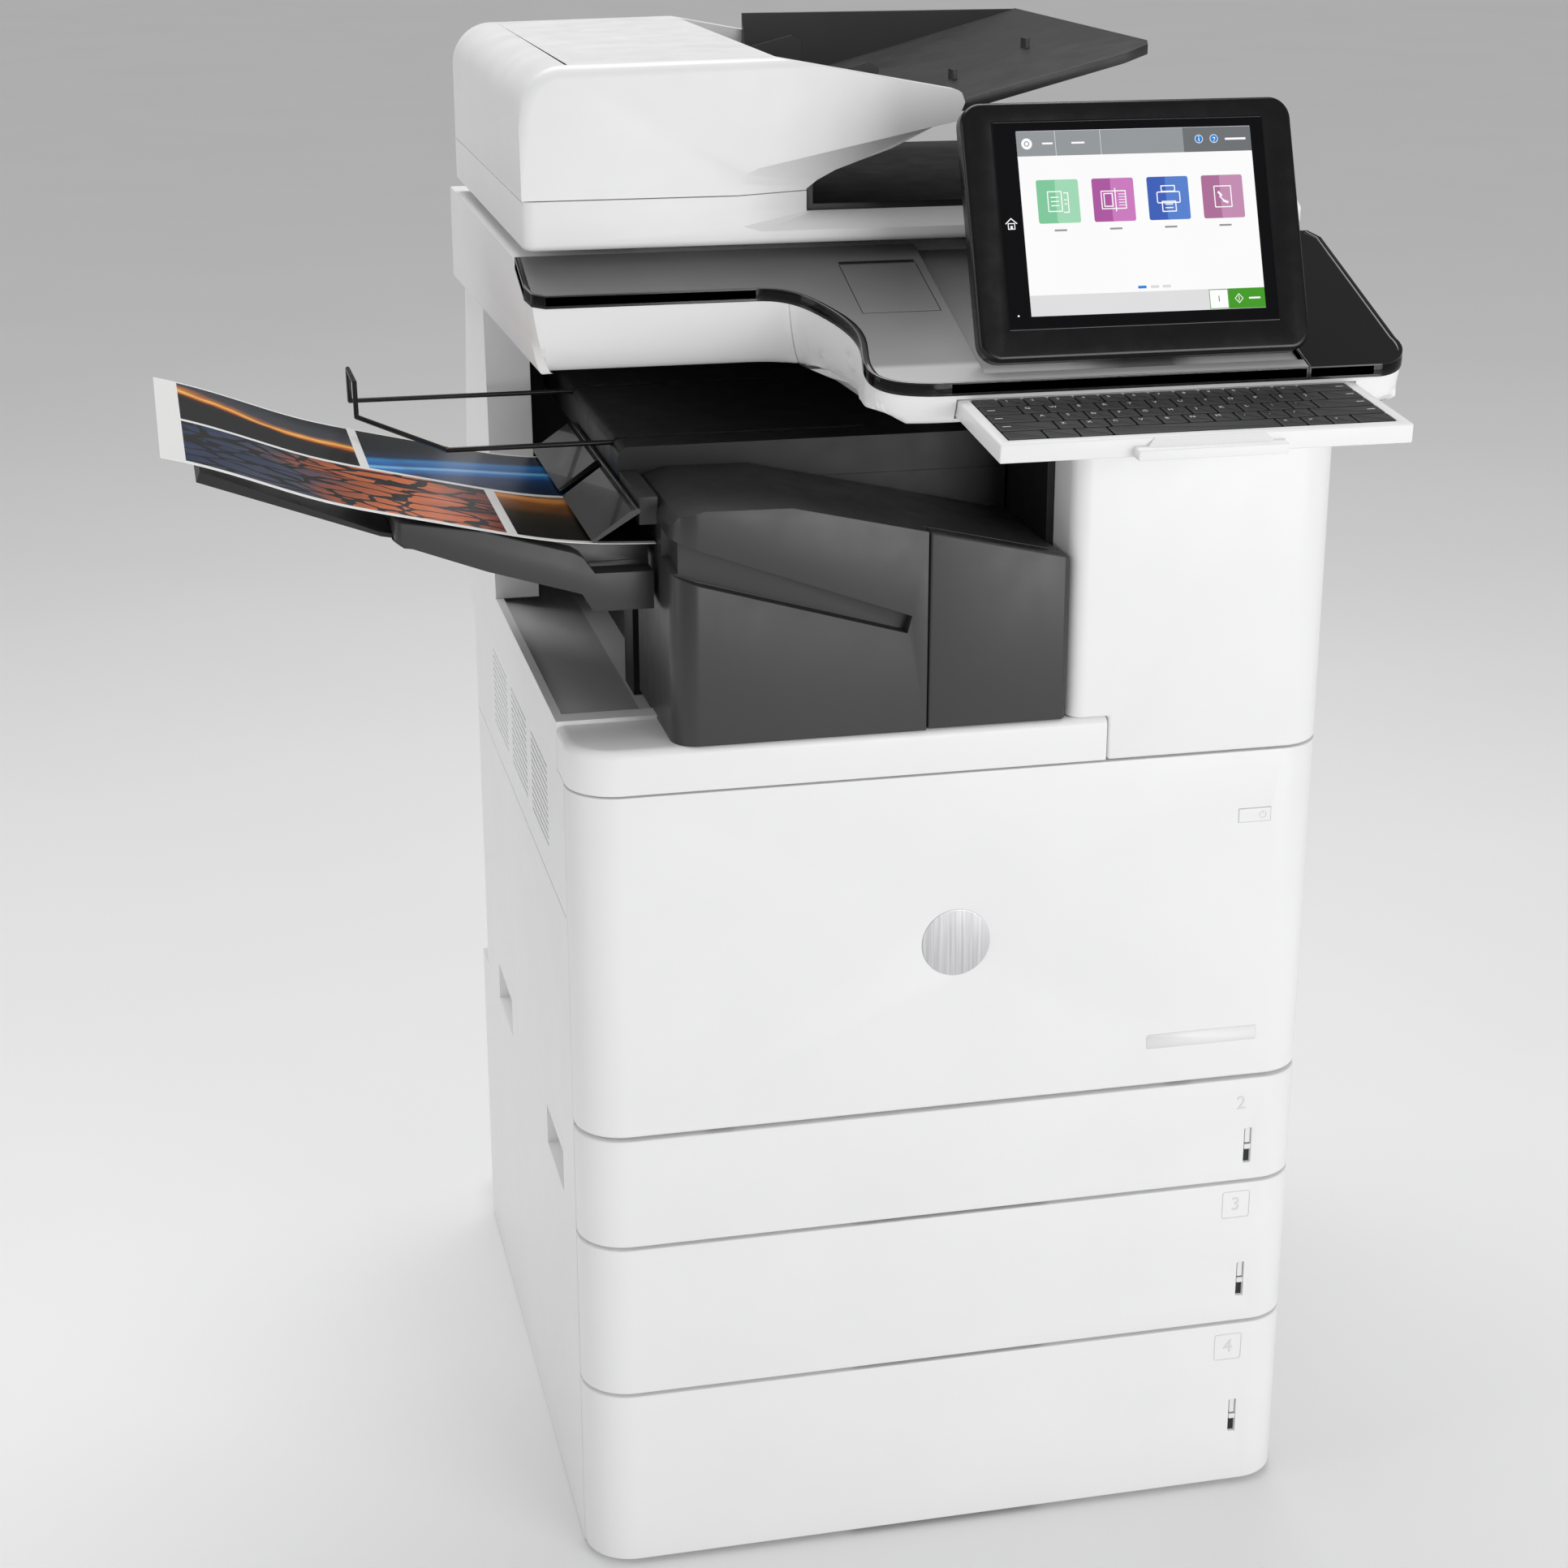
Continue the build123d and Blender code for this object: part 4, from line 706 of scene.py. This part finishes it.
class COPIER_OT_keyboard(bpy.types.Operator):
    """Models the keycaps with their letters and the pull on the keyboard tray"""

    bl_idname = "copier.keyboard"
    bl_label = "Make Keyboard"

    rows = (("bottom_keys", (1.5, 1.25, 1.25, 6.5, 1, 1, 1, 1.5), "    <>v ", 0),
            ("letter_keys", (2.25, *[1] * 10, 2.75), "|ZXCVBNM,./|", 1),
            ("letter_keys", (1.75, *[1] * 11, 2.25), "|ASDFGHJKL;'|", 2),
            ("letter_keys", (1.5, *[1] * 12, 1.5), "|QWERTYUIOP[]|", 3),
            ("number_keys", (*[1] * 13, 2), "`1234567890-=|", 4))

    def frame_of_keys(self):
        """Local frame of the key field, from the lowest row of keys."""
        look = bpy.context.scene.copier_panel
        rise, run = math.sin(look.keyboard_slope), math.cos(look.keyboard_slope)
        low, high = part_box("bottom_keys")
        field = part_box("number_keys")
        pitch = look.key_pitch / MM
        middle = (field[0].x + field[1].x) / 2
        y = low.y - (9.7 * run - 0.2 * rise) * MM
        z = high.z - ((pitch + 8.3) * rise + 0.2 * run) * MM
        lie = Matrix(((1, 0, 0, middle), (0, run, -rise, y), (0, rise, run, z), (0, 0, 0, 1)))
        return lie @ Matrix.Scale(MM, 4)

    def cap(self, width, pitch, material):
        """One keycap: drafted sides, rounded corners, slightly dished top."""
        deselect()
        bpy.ops.mesh.primitive_cube_add(size=1, location=(0, 0, -2.2))
        piece = bpy.context.object
        piece.scale = (width - 1.4, pitch - 1.4, 4.4)
        bpy.ops.object.transform_apply(location=True, rotation=True, scale=True)
        bpy.ops.object.mode_set(mode="EDIT")
        mesh = bmesh.from_edit_mesh(piece.data)
        for edge in mesh.edges:
            edge.select = abs(edge.verts[0].co.z - edge.verts[1].co.z) > 1
        bmesh.update_edit_mesh(piece.data)
        bpy.ops.mesh.select_mode(type="EDGE")
        bpy.ops.mesh.bevel(offset=1.3, segments=2)
        bpy.ops.mesh.select_mode(type="FACE")
        bpy.ops.mesh.select_all(action="DESELECT")
        mesh = bmesh.from_edit_mesh(piece.data)
        for face in mesh.faces:
            face.select = face.normal.z > 0.9
        bmesh.update_edit_mesh(piece.data)
        bpy.ops.mesh.inset(thickness=0.45, depth=0.2)
        bpy.ops.mesh.inset(thickness=1.8, depth=-0.12)
        bpy.ops.object.mode_set(mode="OBJECT")
        piece.data.materials.append(material)
        return piece

    def execute(self, context):
        place = self.frame_of_keys()
        pitch = context.scene.copier_panel.key_pitch / MM
        keycap = bpy.data.materials["matte_keycap"]
        legend, tree, shader = finish_nodes("pale_legend", (0.75, 0.75, 0.76), 0.5)
        add_grain(tree, shader, 2000, 0.00001)
        masters, caps, marks = {}, {}, {}
        for group, units, letters, row in self.rows:
            left = -7.5 * pitch
            v = 9 + (row + 0.5) * pitch
            for number, unit in enumerate(units):
                if unit not in masters:
                    masters[unit] = self.cap(unit * pitch, pitch, keycap)
                u = left + unit * pitch / 2
                copy = masters[unit].copy()
                copy.data = masters[unit].data.copy()
                context.scene.collection.objects.link(copy)
                copy.data.transform(Matrix.Translation((u, v, 0)))
                caps.setdefault(group, []).append(copy)
                letter = letters[number] if number < len(letters) else " "
                top = 0.1
                if letter == "|":
                    edge = -1 if u < 0 else 1
                    marks.setdefault(group, []).append(
                        plate(u + edge * (unit * pitch / 2 - 7.5), v + 1, 6, 0.9, 0.3, top, 0.06, legend))
                elif letter.strip():
                    marks.setdefault(group, []).append(
                        lettering(letter, u - 3.2, v + 3, 5.4, top, 0.06, legend))
                left += unit * pitch
        deselect()
        for master in masters.values():
            bpy.data.objects.remove(master)
        for group in caps:
            made = join(group[:-1] + "_caps", caps[group], place)
            take(made)
            bpy.ops.object.shade_smooth_by_angle(angle=math.radians(30))
            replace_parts(settle(made, group), group)
            settle(join(group[:-1] + "_legends", marks[group], place), group)
        self.pull(place)
        return {"FINISHED"}

    def pull(self, place):
        """Rounded finger pull along the middle of the tray's front edge."""
        deselect()
        bpy.ops.mesh.primitive_cube_add(size=1, location=(0, -4.4, -7.2))
        piece = bpy.context.object
        piece.scale = (107, 9.0, 13.4)
        bpy.ops.object.transform_apply(location=True, rotation=True, scale=True)
        for vertex in piece.data.vertices:
            if vertex.co.z > -5:
                vertex.co.x *= 0.76
                if vertex.co.y < -5:
                    vertex.co.y = -1.6
        soften(piece, 4.2, 6, 20)
        piece.data.materials.append(bpy.data.materials["satin_white_shell"])
        settle(join("keyboard_pull", [piece], place), "keyboard_tray")


class COPIER_OT_front_marks(bpy.types.Operator):
    """Adds the drawer numbers, paper gauges, power sign, label plate and badge face"""

    bl_idname = "copier.front_marks"
    bl_label = "Make Front Details"

    def execute(self, context):
        shell = bpy.data.materials["satin_white_shell"]
        raised = moulded("raised_figure", (0.74, 0.74, 0.745), 0.4, 1400, 0.00002, 0.01)
        liner = moulded("gauge_liner", (0.01, 0.01, 0.011), 0.5, 1500, 0.00003, 0.1)
        float_white = moulded("gauge_float", (0.8, 0.8, 0.8), 0.45, 1500, 0.00002, 0.01)
        for number, below, boxed in ((2, 21.8, False), (3, 19.3, True), (4, 21.5, True)):
            body = f"tray_{number}"
            low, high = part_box(body)
            place = front_frame(high.x - 56 * MM, high.z - below * MM, low.y) @ Matrix.Scale(MM, 4)
            drawn = [lettering(str(number), 0, 0, 17, -0.05, 0.35, raised)]
            if boxed:
                drawn.append(plate(0, 0, 24, 24.5, 2.2, -0.05, 0.3, raised, line=0.55))
            settle(join(f"drawer_number_{number}", drawn, place), body)
            gauge = {2: 17, 3: 25, 4: 49}[number]
            middle = low.z + (gauge + 14) * MM
            slot_place = front_frame(high.x - 48.6 * MM, middle, low.y) @ Matrix.Scale(MM, 4)
            inside = [plate(0, 0, 5.9, 30.9, 0, -2.95, 0.3, liner),
                      plate(0, 8.6, 4.2, 13, 0.5, -2.6, 1.0, float_white),
                      plate(0.2, -1.2, 5.4, 4.4, 0.6, -2.6, 1.9, float_white)]
            settle(join(f"gauge_{number}", inside, slot_place), body)
        low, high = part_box("power_button")
        middle = (low.z + high.z) / 2
        sign_place = front_frame(high.x - 10.5 * MM, middle, low.y) @ Matrix.Scale(MM, 4)
        sign = [disc(0, 0, 3.0, 0.02, 0.12, raised, line=0.55, sides=40)]
        take(sign[0])
        bpy.ops.object.mode_set(mode="EDIT")
        mesh = bmesh.from_edit_mesh(sign[0].data)
        gap = [v for v in mesh.verts if v.co.y > 0 and abs(v.co.x) < 1.1]
        bmesh.ops.delete(mesh, geom=gap, context="VERTS")
        bmesh.update_edit_mesh(sign[0].data)
        bpy.ops.mesh.select_all(action="SELECT")
        bpy.ops.mesh.fill_holes(sides=8)
        bpy.ops.object.mode_set(mode="OBJECT")
        sign.append(plate(0, 2.0, 0.55, 3.0, 0, 0.02, 0.12, raised))
        settle(join("power_sign", sign, sign_place), "power_button")
        low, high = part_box("front_door")
        label_place = front_frame(206 * MM, low.z + 38.5 * MM, low.y) @ Matrix.Scale(MM, 4)
        label = plate(0, 0, 94, 12.5, 2.0, -0.02, 0.18, shell)
        settle(soften(join("label_plate", [label], label_place), 0.05 * MM), "front_door")
        self.badge()
        return {"FINISHED"}

    def badge(self):
        """Plain brushed disc with a turned edge."""
        low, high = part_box("badge")
        radius = (high.x - low.x) / 2 / MM
        place = front_frame((low.x + high.x) / 2, (low.z + high.z) / 2, high.y) @ Matrix.Scale(MM, 4)
        deselect()
        bpy.ops.mesh.primitive_cylinder_add(vertices=96, radius=radius, depth=1.5, location=(0, 0, 0.75))
        piece = bpy.context.object
        bpy.ops.object.transform_apply(location=True, rotation=True, scale=True)
        bpy.ops.object.mode_set(mode="EDIT")
        bpy.ops.mesh.select_all(action="DESELECT")
        bpy.ops.mesh.select_mode(type="FACE")
        mesh = bmesh.from_edit_mesh(piece.data)
        for face in mesh.faces:
            face.select = face.normal.z > 0.9
        bmesh.update_edit_mesh(piece.data)
        bpy.ops.mesh.inset(thickness=0.5, depth=0.1)
        bpy.ops.mesh.inset(thickness=1.0, depth=-0.05)
        bpy.ops.mesh.inset(thickness=0.4, depth=0.05)
        bpy.ops.object.mode_set(mode="OBJECT")
        bpy.ops.object.shade_smooth_by_angle(angle=math.radians(20))
        piece.data.materials.append(bpy.data.materials["brushed_disc"])
        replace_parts(settle(join("badge_disc", [piece], place), "front_door"), "badge")


class COPIER_OT_deck_trim(bpy.types.Operator):
    """Rounds the scanner tub and lays the polished band along the deck's front edge"""

    bl_idname = "copier.deck_trim"
    bl_label = "Shape Tub and Deck Band"

    @staticmethod
    def outer_vertices(piece, rear):
        """Vertices of the outside wall with the level direction that they face."""
        from mathutils.bvhtree import BVHTree
        mesh = bmesh.new()
        mesh.from_mesh(piece.data)
        tree = BVHTree.FromBMesh(mesh)
        facing = {}
        for face in mesh.faces:
            if abs(face.normal.z) > 0.35:
                continue
            level = Vector((face.normal.x, face.normal.y, 0)).normalized()
            centre = face.calc_center_median()
            if centre.y > rear or tree.ray_cast(centre + level * 0.0004, level, 2.0)[0] is not None:
                continue
            for vertex in face.verts:
                facing.setdefault(vertex.index, []).append(level * face.calc_area())
        mesh.free()
        return {index: sum(normals, Vector()).normalized() for index, normals in facing.items()}

    def execute(self, context):
        self.tub(context)
        self.band()
        return {"FINISHED"}

    def tub(self, context):
        look = context.scene.copier_panel
        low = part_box("scanner_base")[0]
        piece = merged_copy("scanner_base", "scanner_tub")
        step = 17.5 * MM
        levels = [low.z + rise * MM for rise in (
            1, 2.5, 5, 8, 12, 17.5, 18.5, 20, 22.5, 26, 31, 38, 46, 54, 62)]
        for level in levels:
            bpy.ops.object.mode_set(mode="EDIT")
            bpy.ops.mesh.select_all(action="SELECT")
            bpy.ops.mesh.bisect(plane_co=(0, 0, level), plane_no=(0, 0, 1))
            bpy.ops.object.mode_set(mode="OBJECT")
        facing = self.outer_vertices(piece, 0.0)
        deck_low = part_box("control_deck")[0]
        for index, level in facing.items():
            vertex = piece.data.vertices[index]
            x, y, z = vertex.co
            share = min(1, max(0, (-0.062 - x) / 0.038))
            floor = low.z + step * share
            rim = deck_low.z + (y - deck_low.y) * math.tan(look.deck_slope)
            drop = min(1, max(0, (rim - z) / (rim - floor)))
            curl = 0.45 * drop + 0.55 * (1 - math.sqrt(1 - drop * drop))
            pull = look.tub_lean * (rim - floor) * curl * max(0, -level.y)
            vertex.co.x -= level.x * pull
            vertex.co.y -= level.y * pull
        piece.data.materials.clear()
        piece.data.materials.append(bpy.data.materials["satin_white_shell"])
        take(piece)
        bpy.ops.object.shade_smooth_by_angle(angle=math.radians(32))
        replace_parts(settle(piece, "machine"), "scanner_base")

    def band(self):
        parts = [merged_copy("control_deck", "band_deck"), merged_copy("right_wing", "band_wing")]
        piece = join("deck_band", parts)
        facing = self.outer_vertices(piece, 0.0)
        mesh = bmesh.new()
        mesh.from_mesh(piece.data)
        mesh.faces.ensure_lookup_table()
        keep = []
        for face in mesh.faces:
            inside = all(v.index in facing for v in face.verts)
            if inside and abs(face.normal.z) < 0.35 and face.normal.y < 0.6:
                keep.append(face)
        keep_set = set(keep)
        bmesh.ops.delete(mesh, geom=[f for f in mesh.faces if f not in keep_set], context="FACES")
        mesh.to_mesh(piece.data)
        mesh.free()
        take(piece)
        piece.data.materials.clear()
        piece.data.materials.append(bpy.data.materials["polished_black"])
        wall = piece.modifiers.new("wall", "SOLIDIFY")
        wall.thickness = 5 * MM
        wall.offset = -1
        wall.use_even_offset = True
        bpy.ops.object.modifier_apply(modifier=wall.name)
        piece.data.transform(Matrix.Translation((0, 0, 0.45 * MM)))
        soften(piece, 1.8 * MM, 4, 40)
        settle(piece, "machine")


class COPIER_OT_soft_edges(bpy.types.Operator):
    """Rounds the moulded edges of the visible shells"""

    bl_idname = "copier.soft_edges"
    bl_label = "Round Moulded Edges"

    shells = (("front_door", "front_door", "white_shell", 1.2), ("tray_2", "tray_2", "white_shell", 1.2),
              ("tray_3", "tray_3", "white_shell", 1.2), ("tray_4", "tray_4", "white_shell", 1.2),
              ("top_trim", "machine", "white_shell", 1.0), ("column", "machine", "white_shell", 2.5),
              ("finisher_shell", "machine", "dark_shell", 2.5),
              ("finisher_door", "finisher_door", "dark_shell", 2.0),
              ("adf_frame", "scanner_lid", "black_moulding", 1.2),
              ("scanner_lid", "scanner_lid", "white_shell", 1.5),
              ("keyboard_tray", "keyboard_tray", "white_shell", 1.3),
              ("touch_panel", "touch_panel", "black_moulding", 1.6),
              ("output_tray", "output_tray", "black_moulding", 1.5),
              ("document_tray", "document_tray", "black_moulding", 1.2),
              ("wire_support", "wire_support", "wire", 0.6))

    def execute(self, context):
        share = context.scene.copier_panel.edge_share
        for node, body, slot, width in self.shells:
            piece = merged_copy(node, node + "_soft", 1.0)
            soften(piece, width * share * MM, 3, 30)
            if len(piece.data.polygons) > 60000:
                raise RuntimeError(f"{node}: rounding gave too many faces")
            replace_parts(settle(piece, body), node)
        self.tray_slope(context)
        return {"FINISHED"}

    @staticmethod
    def tray_slope(context):
        """Sloping wall along the rear edge of the document tray."""
        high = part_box("document_tray")[1]
        deselect()
        bpy.ops.mesh.primitive_cube_add(size=1, location=(0, 0, 0))
        piece = bpy.context.object
        left, right = high.x - 0.250, high.x - 0.0035
        rise = math.tan(context.scene.copier_panel.paper_slope)
        rear, crown = high.y - 0.0005, high.z - 0.0004
        for vertex in piece.data.vertices:
            at_left, at_top, at_rear = vertex.co.x < 0, vertex.co.z > 0, vertex.co.y > 0
            x = left if at_left else right
            surface = high.z - (high.x - 0.002 - x) * rise
            z = max(crown, surface - 0.0002) if at_top else surface - 0.0012
            z = min(z, crown)
            y = rear
            if not at_rear:
                y = rear - 0.0022 if at_top else rear - (0.029 if at_left else 0.004)
            vertex.co = (x, y, z)
        all_faces_out(piece)
        soften(piece, 0.5 * MM, 2, 30)
        piece.data.materials.append(bpy.data.materials["satin_dark_shell"])
        piece.name = "tray_rear_slope"
        settle(piece, "document_tray")


class COPIER_OT_feeder(bpy.types.Operator):
    """Rolls the front and left edges of the feeder cover over as the moulding does"""

    bl_idname = "copier.feeder"
    bl_label = "Round Feeder Cover"

    def execute(self, context):
        low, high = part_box("adf_cover")
        piece = merged_copy("adf_cover", "feeder_cover")
        piece.data.attributes.new("bevel_weight_edge", "FLOAT", "EDGE")
        mesh = bmesh.new()
        mesh.from_mesh(piece.data)
        layer = mesh.edges.layers.float["bevel_weight_edge"]
        chosen = 0
        for edge in mesh.edges:
            if len(edge.link_faces) != 2 or edge.calc_face_angle(0) < math.radians(35):
                continue
            ends = [v.co for v in edge.verts]
            if all(p.y < low.y + 0.002 and low.z + 0.0005 < p.z and p.x < high.x - 0.010 for p in ends):
                edge[layer] = 1.0
                chosen += 1
        mesh.to_mesh(piece.data)
        mesh.free()
        if not chosen:
            raise RuntimeError("the feeder cover has no front rim to round")
        rim = piece.modifiers.new("rounded_rim", "BEVEL")
        rim.limit_method = "WEIGHT"
        rim.width = context.scene.copier_panel.cover_round
        rim.segments = 6
        rim.use_clamp_overlap = False
        take(piece)
        bpy.ops.object.modifier_apply(modifier=rim.name)
        piece.data.materials.clear()
        piece.data.materials.append(bpy.data.materials["satin_white_shell"])
        take(piece)
        bpy.ops.object.shade_smooth_by_angle(angle=math.radians(30))
        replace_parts(settle(piece, "adf_cover"), "adf_cover")
        return {"FINISHED"}


def area_light(name, place, target, size, energy, colour=(1, 1, 1)):
    bpy.ops.object.light_add(type="AREA", location=place)
    lamp = bpy.context.object
    lamp.name = name
    lamp.data.shape = "RECTANGLE"
    lamp.data.size, lamp.data.size_y = size
    lamp.data.energy = energy
    lamp.data.color = colour
    aim = Vector(target) - Vector(place)
    lamp.rotation_euler = aim.to_track_quat("-Z", "Y").to_euler()
    return lamp


def studio_world(fill):
    """White surround for the eye, gentler for the light that it gives and dim in reflections."""
    world = bpy.data.worlds.new("studio_surround")
    world.use_nodes = True
    tree = world.node_tree
    surround = tree.nodes["Background"]
    surround.inputs["Color"].default_value = (1, 1, 1, 1)
    path = tree.nodes.new("ShaderNodeLightPath")
    seen = sum_node(tree, "MULTIPLY", path.outputs["Is Camera Ray"], 1.0 - fill)
    mirrored = sum_node(tree, "MULTIPLY", path.outputs["Is Glossy Ray"], 0.72 * fill)
    total = sum_node(tree, "SUBTRACT", sum_node(tree, "ADD", seen, fill), mirrored)
    tree.links.new(total, surround.inputs["Strength"])
    return world


class COPIER_OT_stage(bpy.types.Operator):
    """Lays the pale floor and sets the soft lights and the camera"""

    bl_idname = "copier.stage"
    bl_label = "Set Up Studio"

    def execute(self, context):
        studio = context.scene.copier_studio
        deselect()
        bpy.ops.mesh.primitive_plane_add(size=60, location=(0, 0, -0.0005))
        floor = context.object
        floor.name = "studio_floor"
        pale, tree, shader = finish_nodes("pale_studio_floor", (0.9, 0.9, 0.9), 0.6)
        vary_colour(tree, shader, (0.89, 0.89, 0.89), (0.91, 0.91, 0.91), 1.5)
        floor.data.materials.append(pale)
        context.scene.world = studio_world(studio.fill)
        area_light("key_softbox", (1.7, -3.9, 1.15), (0.1, -0.3, 0.55), (2.6, 1.9), 68)
        area_light("top_softbox", (-0.1, 0.9, 3.4), (0, 0, 0.9), (2.4, 1.6), 48)
        area_light("left_softbox", (-3.2, -0.6, 1.5), (-0.3, 0, 0.6), (1.2, 2.2), 12)
        bpy.ops.object.camera_add(location=(-0.58378, -2.29322, 1.37558))
        camera = context.object
        camera.rotation_euler = (math.radians(70.739), math.radians(-0.137), math.radians(-13.41))
        camera.data.lens = studio.lens
        camera.data.sensor_width = 36
        camera.data.shift_x = -0.0208
        camera.data.shift_y = -0.0028
        context.scene.camera = camera
        context.scene.view_settings.view_transform = "Standard"
        return {"FINISHED"}


class COPIER_PT_sidebar(bpy.types.Panel):
    """Sidebar list of the copier's makers"""

    bl_label = "Copier"
    bl_idname = "COPIER_PT_sidebar"
    bl_space_type = "VIEW_3D"
    bl_region_type = "UI"
    bl_category = "Copier"

    def draw(self, context):
        column = self.layout.column()
        for group in (context.scene.copier_finishes, context.scene.copier_panel, context.scene.copier_studio):
            for name in group.__annotations__:
                column.prop(group, name)
        for maker in MAKERS:
            column.operator(maker.bl_idname)


MAKERS = (COPIER_OT_stage, COPIER_OT_finishes, COPIER_OT_display, COPIER_OT_keyboard, COPIER_OT_front_marks,
          COPIER_OT_deck_trim, COPIER_OT_feeder, COPIER_OT_soft_edges)
CLASSES = (CopierFinishes, CopierPanel, CopierStudio, *MAKERS, COPIER_PT_sidebar)


def register():
    for cls in CLASSES:
        bpy.utils.register_class(cls)
    bpy.types.Scene.copier_finishes = PointerProperty(type=CopierFinishes)
    bpy.types.Scene.copier_panel = PointerProperty(type=CopierPanel)
    bpy.types.Scene.copier_studio = PointerProperty(type=CopierStudio)


def unregister():
    del bpy.types.Scene.copier_studio
    del bpy.types.Scene.copier_panel
    del bpy.types.Scene.copier_finishes
    for cls in reversed(CLASSES):
        bpy.utils.unregister_class(cls)


def main():
    register()
    deselect()
    bpy.ops.copier.stage()
    bpy.ops.copier.finishes()
    bpy.ops.copier.display()
    bpy.ops.copier.keyboard()
    bpy.ops.copier.front_marks()
    bpy.ops.copier.deck_trim()
    bpy.ops.copier.feeder()
    bpy.ops.copier.soft_edges()


if __name__ == "__main__":
    main()
